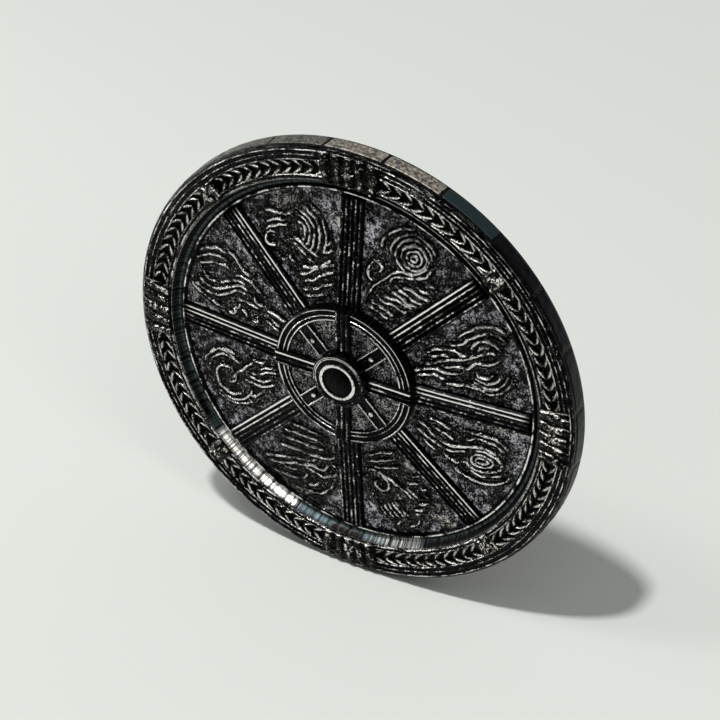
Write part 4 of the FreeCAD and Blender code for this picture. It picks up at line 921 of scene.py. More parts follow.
class BuildSteps(bpy.types.Operator):
    """Polished step and the bead ring in its foot"""
    bl_idname = "shield.build_steps"
    bl_label = "Step and bead ring"

    def execute(self, context):
        turn = np.degrees(np.linspace(0, 2 * math.pi, STEP_STEPS, endpoint=False))
        clean = np.maximum(np.interp(turn, *zip(*STEP_CLEAN_AND_REFLECTION)), np.array(STEP_ROWS_CLEAN)[:, None])
        add_grid("step_polished", ring_points(STEP_SECTION[::-1], STEP_STEPS),
                 finish("Polished steel, cross-marked"), "polished_iron", closed=True, nodes=["step_ring"],
                 marks={"clean": clean})

        def nicked(radius, height, angle):
            """Chisel marks along the bead."""
            return np.where(height > 18.5, 0.25 * unevenness(angle * BEAD_ARC, radius * 2, 3.2, 41), 0)

        section = [(BEAD_MIDDLE + BEAD_HALF * t, STEP_FLOOR + BEAD_HEIGHT * (1 - abs(t) ** 1.7))
                   for t in np.linspace(-1, 1, 13)]
        section = [(FIELD_OUTER, STEP_FLOOR - 1)] + section + [(BEAD_RING_OUTER, STEP_FLOOR - 1)]
        rubbed = 1.2 * np.clip((np.array([h for _, h in section]) - STEP_FLOOR - 2.5) / 0.4, 0, 1)[:, None]
        arc = np.linspace(0, 2 * math.pi, BEAD_STEPS, endpoint=False)[None, :] * BEAD_ARC
        add_grid("bead_ring_chased", ring_points(section, BEAD_STEPS, nicked),
                 finish("Blackened iron, filed"), "rim_iron", closed=True, nodes=["bead_ring"], sharp=70,
                 marks={"crest": rubbed * (0.65 + 0.7 * unevenness(arc, 0, 9, 42))})
        return {"FINISHED"}


# Laurel: pairs of leaves in one length; a leaf's length and half width, its lean in degrees, its reach
# sideways, the level of its foot, and how far it rises in the middle and along its keel
LEAF_PAIRS, LEAF_LENGTH, LEAF_HALF_WIDTH, LEAF_LEAN, LEAF_REACH = 11, 20.5, 4.3, 29, 9.2
LEAF_FOOT, LEAF_RISE, LEAF_KEEL = 26.4, 2.2, 0.55
LAUREL_GROUND = (263.4, 280.6, 26.05)


class BuildLaurel(bpy.types.Operator):
    """Eight lengths of laurel leaves in the sunk band"""
    bl_idname = "shield.build_laurel"
    bl_label = "Laurel"

    def execute(self, context):
        random = np.random.default_rng(7)
        for index in range(SECTORS):
            start = 45 * index + PLAQUE_HALVES[index % 2]
            end = 45 * (index + 1) - PLAQUE_HALVES[(index + 1) % 2]
            pitch = (end - start + 0.6) / LEAF_PAIRS
            parts = [self.leaf(start + pitch * (k - 0.3), side, random)
                     for k in range(LEAF_PAIRS) for side in (1, -1)]
            parts.append(self.ground(start, end))
            grids, hollows, crests = zip(*parts)
            number = str(index + 1)
            add_grids("laurel_leaves_" + number, grids, finish("Blackened bronze, cast"), "laurel_bronze",
                      nodes=["laurel_" + number], sharp=80, marks={"hollow": hollows, "crest": crests})
        return {"FINISHED"}

    def leaf(self, degrees, side, random):
        """One keeled leaf from the band's middle outwards, how dark its deep points are painted as dirt and
        shade, and its keel.
        """
        t = np.linspace(0, 1, 9)[:, None]
        s = np.linspace(-1, 1, 9)[None, :]
        length = LEAF_LENGTH + random.uniform(-1, 1)
        lean = math.radians(LEAF_LEAN + random.uniform(-3, 3))
        width = LEAF_HALF_WIDTH * np.sin(math.pi * np.clip(t, 0.02, 0.98)) ** 0.62 * (1 - 0.25 * t)
        along, across = length * t, s * width + 1.6 * np.sin(math.pi * t)
        u = along * math.cos(lean) - across * math.sin(lean)
        v = along * math.sin(lean) + across * math.cos(lean)
        radius = BAND_MIDDLE + side * np.clip(v, -2, LEAF_REACH)
        angle = math.radians(degrees) + u / BAND_MIDDLE
        bulge = np.sin(math.pi * np.clip(t * 0.8 + 0.15, 0, 1)) * (1 - 0.75 * np.abs(s) ** 1.2)
        high = LEAF_FOOT + LEAF_RISE * bulge
        high = high + LEAF_KEEL * np.exp(-(s / 0.16) ** 2) + 0.2 * random.uniform(-1, 1)
        hollow = np.clip((28.1 - high) / 1.9, 0, 1)
        crest = np.exp(-(s / 0.36) ** 2) * np.clip(4 * t, 0, 1) * random.uniform(0.6, 1.3)
        return np.stack([radius * np.cos(angle), radius * np.sin(angle), high], -1), hollow, crest

    def ground(self, start, end):
        """Sunk ground under the leaves, all of it painted near black as dirt and shade, and none of it
        bright.
        """
        inner, outer, level = LAUREL_GROUND
        angle = np.radians(np.linspace(start, end, 60))[None, :]
        radius = np.linspace(inner, outer, 6)[:, None]
        grid = np.stack(np.broadcast_arrays(radius * np.cos(angle), radius * np.sin(angle), level), -1)
        return grid, np.ones(grid.shape[:2]), np.zeros(grid.shape[:2])


# Plaques: inner edge, and outer edge of the large and the small ones; their ground, the height of their
# ribbon turns and the limits of both; how many turns and columns of points
PLAQUE_INNER, PLAQUE_OUTERS = 256.0, (294.7, 281.7)
PLAQUE_LEVEL, PLAQUE_TURN_HEIGHT, PLAQUE_LOWEST, PLAQUE_HIGHEST = 30.4, 3.2, 29.4, 35.1
PLAQUE_TURNS, PLAQUE_COLUMNS = (5, 2), (120, 44)


class BuildPlaques(bpy.types.Operator):
    """Binding plaques over the joints of the laurel"""
    bl_idname = "shield.build_plaques"
    bl_label = "Plaques"

    def execute(self, context):
        for index in range(SECTORS):
            kind, turn = index % 2, index * 2 * HALF_SECTOR
            half = PLAQUE_HALVES[kind] * BAND_MIDDLE * math.pi / 180
            radius = np.arange(PLAQUE_INNER, PLAQUE_OUTERS[kind] + 0.01, 0.6)[:, None]
            along = np.linspace(-half, half, PLAQUE_COLUMNS[kind])[None, :]
            height = self.relief(radius, along, half, kind, index)
            angle = along / BAND_MIDDLE
            grid = np.stack([radius * np.cos(angle), radius * np.sin(angle), height], -1)
            worn = 0.5 + 0.6 * unevenness(radius, along, 6, 77)
            # Painted highlight on the sides that slope up towards the light, a little stronger on the plaques
            # towards the right
            rubbed = self.painted_upward_highlight(height, radius, along, turn) * (worn + 0.6)
            rubbed = rubbed * (0.85 + 0.25 * math.cos(turn))
            crest = np.maximum(np.clip(height - 33.2, 0, 1) * worn, rubbed)
            # Dirt and painted shade: near black low in the relief and on the skirt
            hollow = np.pad(np.clip((32.6 - height) / 2.6, 0, 1), 1, constant_values=1.0)
            number = str(index + 1)
            add_grid("binding_plaque_" + number, turned(skirted(grid, BAND_FLOOR + 0.6), turn),
                     finish("Blackened bronze, cast"), "plaque_bronze", nodes=["plaque_" + number], sharp=80,
                     marks={"hollow": hollow, "crest": np.pad(crest, 1)})
        return {"FINISHED"}

    def painted_upward_highlight(self, height, radius, along, turn):
        """Painted highlight where the relief slopes towards the top of the shield: the sides that face the
        light from above.
        """
        outwards, sideways = np.gradient(height, radius[:, 0], along[0])
        up_out = math.sin(turn) - 0.2 * math.cos(turn)
        up_side = math.cos(turn) + 0.2 * math.sin(turn)
        slope = outwards * up_out + sideways * up_side
        return np.clip((-slope - 0.55) / 0.35, 0, 1)

    def relief(self, x, y, half, kind, index):
        """Turns of ribbon across the band with leaf tips between them, and a rosette in the middle."""
        seed, turns = 60 + index, PLAQUE_TURNS[kind]
        lean = 0.16 if index % 4 == 0 else -0.12
        across = y + lean * (x - BAND_MIDDLE) + 1.3 * unevenness(x, y, 9, seed)
        across = across + 2.2 * unevenness(x, y, 17, seed + 5)
        wave = np.abs(np.mod(across / (2 * half / turns) + turns / 2, 1) - 0.5) * 2
        height = PLAQUE_LEVEL + PLAQUE_TURN_HEIGHT * np.clip(1.1 - wave ** 2 * 1.6, 0, 1)
        tips = np.abs(np.mod(x / 7.5 + across / 9, 1) - 0.5) * 2
        height = height - 1.5 * np.clip(wave * 1.6 - 0.8, 0, 1) * tips
        petals = 0.5 + 0.5 * np.cos(6 * np.arctan2(y, x - BAND_MIDDLE) + index)
        rose = np.clip(1 - (np.hypot(x - BAND_MIDDLE, y) / (7.0 + 2.6 * petals)) ** 2, 0, 1)
        height = np.maximum(height, 31.0 + rose * (1.8 + 2.2 * petals))
        edge = np.minimum(np.minimum(x - PLAQUE_INNER, PLAQUE_OUTERS[kind] - x), half - np.abs(y))
        height = height - 1.8 * np.clip(1 - edge / 1.6, 0, 1) ** 2 - 2.4 * np.clip((x - 285) / 9, 0, 1)
        height = height + 0.5 * unevenness(x, y, 2.2, seed + 9) + 0.5 * unevenness(x, y, 4.5, seed + 19)
        return np.clip(height, PLAQUE_LOWEST, PLAQUE_HIGHEST)


# Inner edge of a panel's sheet, half the width that the ribs cover between two panels, and the sheet's grid
PANEL_INNER, PANEL_SIDE, PANEL_PITCH, PANEL_COLUMNS, PANEL_FADE = 93.2, 15.55, 1.05, 150, 4


class BuildPanels(bpy.types.Operator):
    """Eight embossed panels of the field"""
    bl_idname = "shield.build_panels"
    bl_label = "Embossed panels"

    def execute(self, context):
        radius = np.arange(PANEL_INNER, 241.2, PANEL_PITCH)[:, None]
        spread = HALF_SECTOR - np.arcsin(PANEL_SIDE / radius)
        share = np.linspace(-1, 1, PANEL_COLUMNS)[None, :]
        x, y = radius * np.cos(spread * share), radius * np.sin(spread * share)
        seat = field_front(x)
        edge = np.minimum(np.minimum(radius - PANEL_INNER, FIELD_OUTER - radius),
                          (1 - np.abs(share)) * spread * radius)
        for index in range(SECTORS):
            height, marks, place = relief_sheet(index, context.scene.shield_sizes)
            lift = sampled(height, place, x, y) * np.clip(edge / PANEL_FADE, 0, 1)
            grid = skirted(np.stack([x, y, seat + lift], -1), np.pad(seat - SHEET, 1, mode="edge"))
            number = str(index + 1)
            add_grid("embossed_panel_" + number, turned(grid, (2 * index + 1) * HALF_SECTOR),
                     finish("Embossed iron, patinated"), "panel_iron", nodes=["field_panel_" + number],
                     sharp=75,
                     marks={name: np.pad(sampled(mark, place, x, y), 1) for name, mark in marks.items()})
        return {"FINISHED"}


def fluted(across, width, high, ridges, depth):
    """Height of a fluted bar across its width: reeds with narrow rounded tops and steep flanks."""
    place = np.abs(np.mod((across / width + 0.5) * ridges, 1) * 2 - 1)
    return high - depth * np.clip((place - 0.32) / 0.56, 0, 1) ** 1.1


def reed_highlights_and_shade(across, along, width, ridges, index, seed):
    """Bright lines along a fluted bar: full ones on the side that faces up, a painted highlight, and dotted
    worn ones below; and the painted shade of the side that faces down.
    """
    place = (across / width + 0.5) * ridges
    line = np.clip(1.5 - np.abs(np.mod(place, 1) - 0.5) / 0.16, 0, 1)
    # Upwards on the face, a little to the left, towards the light: up-facing reeds get a painted highlight,
    # down-facing ones painted shade
    upward = math.cos(2 * index * HALF_SECTOR) + 0.2 * math.sin(2 * index * HALF_SECTOR)
    lit = 2 * across / width * upward
    full = np.clip((lit - 0.15) / 0.3, 0, 1)
    dots = 0.5 + 0.5 * np.sin(along * 1.9 + place.astype(int) * 2.0)
    worn = unevenness(along, across * 2, 11, seed)
    crest = line * (full * (1.8 + 0.4 * worn) + (1 - full) * (0.1 + 0.55 * dots + 0.6 * worn))
    return crest, 0.9 * np.clip((-lit - 0.1) / 0.3, 0, 1) * (1 - line)


# Ribs: where they start and end, their ridges and flutes, and the upright ones, whose grain is coarse
RIB_START, RIB_END, RIB_RIDGES, RIB_FLUTE = 93.1, 238.1, 5, 2.3
COARSE_RIBS = (2, 6)


class BuildRibs(bpy.types.Operator):
    """Eight fluted ribs of the field"""
    bl_idname = "shield.build_ribs"
    bl_label = "Ribs"

    def execute(self, context):
        chased = context.scene.shield_sizes.chasing * 1000
        half = RIB_WIDTH / 2
        for index in range(SECTORS):
            coarse = index in COARSE_RIBS
            x = np.concatenate([[RIB_START, 93.5], np.arange(94.5, 237, 1.2 if coarse else 2.4),
                                [237.2, 237.8, RIB_END]])[:, None]
            y = np.linspace(-half, half, 93)[None, :]
            grain = unevenness(x, y + index * 40, 2.6, 71) + 0.6 * unevenness(x, y, 5.5, 72)
            height = fluted(y, RIB_WIDTH, RIB_HEIGHT, RIB_RIDGES, RIB_FLUTE)
            height = height + chased * (2.3 if coarse else 0.35) * grain
            edge = np.minimum(np.minimum(x - RIB_START, RIB_END - x), half - np.abs(y))
            height = height - 0.9 * np.clip(1 - edge / 0.9, 0, 1) ** 2
            # Dirt and painted shade: near black deep in the flutes, painted shade on the down-facing side,
            # and a painted shadow at the outer ends of all but the upright ribs
            hollow = np.clip((RIB_HEIGHT - 1.8 - height) / 0.5, 0, 1)
            crest, shade = reed_highlights_and_shade(y + 0 * x, x + 0 * y, RIB_WIDTH, RIB_RIDGES, index, 73 + index)
            hollow = np.maximum(hollow, np.maximum(shade, np.clip((x - 228) / 8, 0, 0.9) * (not coarse)))
            height = np.minimum(height, RIB_HEIGHT + 0.25)
            top = np.stack(np.broadcast_arrays(x, y, field_hip(x) + height), -1)
            foot = field_hip(np.pad(np.broadcast_to(x, height.shape), 1, mode="edge")) - 0.5
            number = str(index + 1)
            add_grid("fluted_rib_" + number, turned(skirted(top, foot), index * 2 * HALF_SECTOR),
                     finish("Blackened iron, filed"), "rib_iron", nodes=["rib_" + number], sharp=70,
                     marks={"hollow": np.pad(hollow, 1), "crest": np.pad(crest, 1)})
        return {"FINISHED"}


# Hub ring: its wall as (radius, height), the middle and half width of its three beads, and its points round
HUB_WALL = ((91.8, 29.2), (HUB_RADIUS, 29.1), (HUB_RADIUS, 44.3), (92.7, 44.9), (92.2, HUB_TOP))
HUB_BEADS, HUB_STEPS = ((78.0, 1.5), (83.6, 1.3), (91.2, 1.5)), 540
# Short fluted ribs: start, width, height, highest point, ridges and flutes
HUB_RIB_START, HUB_RIB_WIDTH, HUB_RIB_HEIGHT, HUB_RIB_LIMIT = 36.4, 21.0, 6.5, 6.6
HUB_RIB_RIDGES, HUB_RIB_FLUTE = 3, 1.9
# Flat bars: height, and the place and height of the lip along each side
HUB_BAR_HEIGHT, HUB_BAR_LIP, HUB_BAR_LIP_HEIGHT = 3.1, 7.7, 1.5
# Studs: place of the first, before it is turned to its bar, and the section from the middle outwards
STUD_PLACE = (56.3, 0, 44.9)
STUD_SECTION = ((0.02, 3.3), (1.3, 3.2), (2.5, 2.9), (3.5, 2.3), (4.2, 1.5), (4.5, 0.7), (4.4, 0.0))


class BuildHub(bpy.types.Operator):
    """Raised ring, plate, short ribs and studs of the hub"""
    bl_idname = "shield.build_hub"
    bl_label = "Hub"

    def execute(self, context):
        self.ring()
        self.ribs()
        self.bars()
        self.studs()
        refinish("hub_plate", "Hammered iron, grey")
        return {"FINISHED"}

    def ring(self):
        """Burnished wall, and a black top with three beads rubbed bright."""
        add_grid("hub_ring_wall", ring_points(HUB_WALL[::-1], HUB_STEPS), finish("Burnished steel, hub"),
                 "hub_iron", closed=True)
        radius = np.arange(HUB_HOLE, 92.3, 0.45)
        beads = np.zeros(len(radius))
        for middle, half in HUB_BEADS:
            beads = np.maximum(beads, np.clip(1 - np.abs((radius - middle) / half) ** 1.2, 0, 1))
        section = [(HUB_HOLE, 41.8), (HUB_HOLE, 43.0)] + list(zip(radius, 43.7 + 1.6 * beads))
        points = ring_points(section, HUB_STEPS, lambda r, h, a: np.where(
            h > 43.5, 0.16 * unevenness(a * r, r * 2, 3.0, 81), 0))
        turn = np.linspace(0, 2 * math.pi, HUB_STEPS, endpoint=False)[None, :]
        worn = 1.2 + 0.7 * unevenness(turn * 84, radius[:, None] * 2, 16, 85)
        line = np.clip((beads - 0.3) / 0.3, 0, 1)[:, None]
        # Dirt and painted shade: near black in patches between the beads
        marks = {"crest": line * worn, "hollow": 0.8 * (1 - line) * (worn < 1.5)}
        marks = {name: np.pad(mark, ((2, 0), (0, 0))) for name, mark in marks.items()}
        add_grid("hub_ring_top", points, finish("Blackened iron, filed"), "hub_iron", closed=True,
                 nodes=["inner_ring"], sharp=70, marks=marks)

    def ribs(self):
        """Short fluted ribs from the boss over the ring."""
        grids, hollows, crests = [], [], []
        half = HUB_RIB_WIDTH / 2
        x = np.concatenate([[HUB_RIB_START, 36.9], np.arange(38, 92, 1.4), [92.4, HUB_RADIUS]])[:, None]
        y = np.linspace(-half, half, 64)[None, :]
        edge = np.minimum(np.minimum(x - HUB_RIB_START, HUB_RADIUS - x), half - np.abs(y))
        for index in range(0, SECTORS, 2):
            height = fluted(y, HUB_RIB_WIDTH, HUB_RIB_HEIGHT, HUB_RIB_RIDGES, HUB_RIB_FLUTE)
            height = height + 0.25 * unevenness(x, y + index * 30, 3, 82)
            height = np.minimum(height - 0.8 * np.clip(1 - edge / 0.8, 0, 1) ** 2, HUB_RIB_LIMIT)
            low = np.where(x > HUB_HOLE - 0.3, HUB_TOP - 1.2, HUB_FLOOR)
            top = np.stack(np.broadcast_arrays(x, y, HUB_FLOOR + height), -1)
            grid = skirted(top, np.pad(np.broadcast_to(low, height.shape), 1, mode="edge"))
            grids.append(turned(grid, index * 2 * HALF_SECTOR))
            crest, shade = reed_highlights_and_shade(y + 0 * x, x + 0 * y, HUB_RIB_WIDTH, HUB_RIB_RIDGES, index, 84 + index)
            # Dirt and painted shade: near black deep in the flutes and on the down-facing side
            hollows.append(np.pad(np.maximum(np.clip((5.0 - height) / 0.5, 0, 1), shade), 1))
            crests.append(np.pad(crest, 1))
        add_grids("hub_bars_fluted", grids, finish("Blackened iron, filed"), "hub_iron", nodes=["hub_ribs"],
                  sharp=70, marks={"hollow": hollows, "crest": crests})

    def bars(self):
        """Flat diagonal bars with a raised lip along each side."""
        x = np.concatenate([[36.9, 37.4], np.arange(38.5, 75.2, 1.6), [75.2, 75.7]])[:, None]
        y = np.concatenate([np.linspace(-9, -6.2, 9), np.linspace(-5.8, 5.8, 9), np.linspace(6.2, 9, 9)])
        y = y[None, :]
        lip = np.clip(1 - ((np.abs(y) - HUB_BAR_LIP) / 1.35) ** 2, 0, 1)
        crest = np.pad(1.3 * lip + 0 * x, 1)
        # Dirt and painted shade: near black in the groove inside each lip
        hollow = np.pad(0.85 * np.exp(-((np.abs(y) - 5.2) / 1.3) ** 2) + 0 * x, 1)
        grids = []
        for index in range(1, SECTORS, 2):
            height = HUB_BAR_HEIGHT + HUB_BAR_LIP_HEIGHT * lip + 0.15 * unevenness(x, y + index * 30, 3, 83)
            top = np.stack(np.broadcast_arrays(x, y, HUB_FLOOR + height), -1)
            grids.append(turned(skirted(top, HUB_FLOOR), index * 2 * HALF_SECTOR))
        add_grids("hub_bars_flat", grids, finish("Blackened iron, chased"), "hub_iron", nodes=["hub_straps"],
                  sharp=60, marks={"crest": [crest] * len(grids), "hollow": [hollow] * len(grids)})

    def studs(self):
        """A domed stud on each flat bar, its top rubbed bright."""
        ring = ring_points(STUD_SECTION, 28) + STUD_PLACE
        grids = [turned(ring, index * 2 * HALF_SECTOR) for index in range(1, SECTORS, 2)]
        crest = np.repeat([float(h > 2.6) for _, h in STUD_SECTION], 28)
        add_grids("hub_studs_domed", grids, finish("Blackened iron, filed"), "hub_iron", closed=True,
                  nodes=["hub_studs"], marks={"crest": [crest] * len(grids)})


# Boss: the collar from its inner edge outwards as (radius, height)
COLLAR_SECTION = ((19.0, 56.8), (25.4, 56.8), (26.2, 56.8), (28.0, 56.4), (29.6, 56.1), (30.4, 56.4),
                  (30.8, 57.0), (31.4, 57.0), (31.9, 56.6), (32.4, 56.6), (33.2, 57.0), (34.2, 56.9),
                  (35.2, 56.4), (35.8, 55.6), (36.0, 54.6), (36.0, 41.7))
# Level of the collar's top, the ring on it with its middle, half width and rise, and the cap inside it
BOSS_TOP, BOSS_RING_MIDDLE, BOSS_RING_HALF, BOSS_RING_RISE = 57.0, 22.5, 3.0, 2.4
CAP_RADIUS, CAP_TOP, CAP_CROWN = 19.4, 59.0, 1.5


class BuildBoss(bpy.types.Operator):
    """Round boss: collar, bright ring and low dome"""
    bl_idname = "shield.build_boss"
    bl_label = "Boss"

    def execute(self, context):
        def ripple(r, h, a):
            """Slight unevenness of the upper faces."""
            return np.where(h > 55, 0.12 * unevenness(a * r, r * 3, 2.4, 91), 0)

        turn = np.linspace(0, 2 * math.pi, 240, endpoint=False)
        # Painted highlight: the collar's top line is brighter towards the upper left, where the light comes
        # from
        upper = 0.3 + 1.2 * np.clip(np.cos(turn - 1.9) + 0.3, 0, 1)
        rubbed = np.array([float(h > 56.95) for _, h in COLLAR_SECTION])[:, None] * upper
        add_grid("boss_collar_turned", ring_points(COLLAR_SECTION, 240, ripple),
                 finish("Blackened iron, filed"), "boss_steel", closed=True, nodes=["boss_collar"], sharp=60,
                 marks={"crest": rubbed})
        ring = [(BOSS_RING_MIDDLE + BOSS_RING_HALF * math.cos(t), BOSS_TOP + BOSS_RING_RISE * math.sin(t))
                for t in np.linspace(0, math.pi, 11)[::-1]]
        points = ring_points(ring, 200, ripple)
        rubbed = 1.3 * np.clip(1.6 * (np.array([h for _, h in ring]) - 58.4), 0, 1)[:, None]
        add_grid("boss_ring_round", points, finish("Blackened iron, filed"), "boss_steel", closed=True,
                 nodes=["boss_ring"], marks={"crest": np.broadcast_to(rubbed, points.shape[:2])})
        cap = [(CAP_RADIUS * t + 0.01, CAP_TOP - CAP_CROWN * t ** 2) for t in np.linspace(0, 1, 14)]
        points = ring_points(cap + [(CAP_RADIUS, BOSS_TOP)], 120, lambda r, h, a: 0.1 * unevenness(
            r * np.cos(a), r * np.sin(a), 5, 92))
        add_grid("boss_cap_domed", points, finish("Black glass enamel"), "boss_cap", closed=True,
                 nodes=["boss_dome"])
        return {"FINISHED"}


class BuildBoard(bpy.types.Operator):
    """Wooden board and hoop, and the leather lining of the back"""
    bl_idname = "shield.build_board"
    bl_label = "Board and lining"

    def execute(self, context):
        for node in ("core_board", "rim_hoop"):
            refinish(node, "Limewood, oiled")
        radius = np.concatenate([[0.01], np.arange(4, 236, 4), np.arange(236, 252, 0.8),
                                 [252.5, 253.8, 254.8, LINING_RADIUS]])
        level = np.full(len(radius), LINING)
        level[-3:] = 8.6, 8.9, 9.6
        section = list(zip(radius, level)) + [(LINING_RADIUS, 10.0)]

        def uneven(r, h, a):
            """Soft unevenness of the hide and two lines creased round its border."""
            x, y = r * np.cos(a), r * np.sin(a)
            creased = 0.7 * np.exp(-((r - 247.5) / 0.9) ** 2) + 0.7 * np.exp(-((r - 241.5) / 0.9) ** 2)
            lift = np.where(h < 9.9, 0.18 + 0.18 * unevenness(x, y, 26, 93) + creased, 0)
            return lift * np.clip((255 - r) / 4, 0, 1)

        add_grid("lining_sheet", ring_points(section, 256, uneven), finish("Lining leather"),
                 "lining_leather", closed=True, flip=True, nodes=["back_lining"])
        return {"FINISHED"}


# Back fittings. Behind the disc the heights h are negative, and lines run in (y, h)

ARM_PLACE, HAND_PLACE = 76.0, -108.0
ARM_WIDTH, HAND_WIDTH, STRAP_BEVEL = 34.0, 18.0, 0.9
# Straps: level of their feet, half the distance between the feet, and level of the run over the arm or hand
FOOT_LEVEL, ARM_HALF, ARM_RUN, HAND_HALF, HAND_RUN = 7.0, 60, -67.5, 66, -46.0
# Buckle: its bar's place and level, the fold of the short strap round it, the frame's far side and half width
BAR_PLACE, BAR_LEVEL, FOLD_RADIUS, FRAME_END, FRAME_HALF = 4.0, -71.06, 3.7, -20.0, 20.6
# Bar and prong as (place, radius) beyond the frame's sides, and the prong's line beyond its eye
BAR_ENDS = ((-2.2, 0.2), (-2.0, 1.6), (-1.0, 1.95))
PRONG_EYE, PRONG_LINE = 2.85, ((-2.0, -74.4), (-17.0, -74.35), (-22.3, -74.1))
# Keeper: inner half width, its level behind and in front, and its wall as (y, distance outwards)
KEEPER_HALF, KEEPER_LOW, KEEPER_HIGH = 17.9, -74.7, -65.1
KEEPER_WALL = ((27.6, -0.8), (27.4, 0.0), (27.6, 0.8), (31.4, 0.85), (35.2, 0.8), (35.4, 0.0), (35.2, -0.8))
TUBE_SIDES = 12
# A stitch's thread as (share of its half length, radius)
STITCH = ((-1, 0.05), (-0.6, 0.34), (0, 0.42), (0.6, 0.34), (1, 0.05))


def directions(path):
    """Directions along and square to a flat line."""
    ahead = np.gradient(path, axis=0)
    ahead /= np.linalg.norm(ahead, axis=1)[:, None]
    return ahead, np.stack([-ahead[:, 1], ahead[:, 0]], -1)


def dense(path, step):
    """A line with points at an even step."""
    path = np.asarray(path, float)
    gap = np.concatenate([[0], np.cumsum(np.linalg.norm(np.diff(path, axis=0), axis=1))])
    at = np.linspace(0, gap[-1], max(2, int(gap[-1] / step)) + 1)
    return np.stack([np.interp(at, gap, path[:, k]) for k in range(path.shape[1])], -1)


def strap_grid(path, middle, width, thickness):
    """Closed tube of a flat strap along a (y, h) line: rounded edges, both ends drawn together."""
    across = directions(path)[1]
    w, t, b = width / 2, thickness / 2, STRAP_BEVEL
    half = [(-w, 0), (-w + 0.15 * b, t * 0.6), (-w + b, t), (-w + 3 * b, t * 0.96), (0, t),
            (w - 3 * b, t * 0.96), (w - b, t), (w - 0.15 * b, t * 0.6), (w, 0)]
    loop = np.array(half + [(x, -y) for x, y in half[-2:0:-1]])
    rows = []
    for i in range(len(path)):
        thin, narrow = (0.02, 0.98) if i in (0, len(path) - 1) else (1.0, 1.0)
        y, h = (path[i, k] + across[i, k] * loop[:, 1] * thin for k in (0, 1))
        rows.append(np.stack([middle + loop[:, 0] * narrow, y, h], -1))
    return np.array(rows)


def stitches(path, middle, offset, lift, pitch, cut):
    """Waxed thread stitches on a face of a strap, along both edges, with a length at each end left bare."""
    line = dense(path, pitch)
    ahead, across = directions(line)
    turn = np.linspace(0, 2 * math.pi, 6, endpoint=False)[:, None]
    grids = []
    for i in range(1 + int(cut[0] / pitch), len(line) - 1 - int(cut[1] / pitch)):
        along = np.array([0, *ahead[i]]) * pitch * 0.33
        up = np.array([0, *across[i]])
        round_it = np.cos(turn) * np.array([1, 0, 0]) + np.sin(turn) * up
        for side in (1, -1):
            centre = np.array([middle + side * offset, *(line[i] + across[i] * lift)])
            grids.append(np.array([centre + along * t + r * round_it for t, r in STITCH]))
    return grids


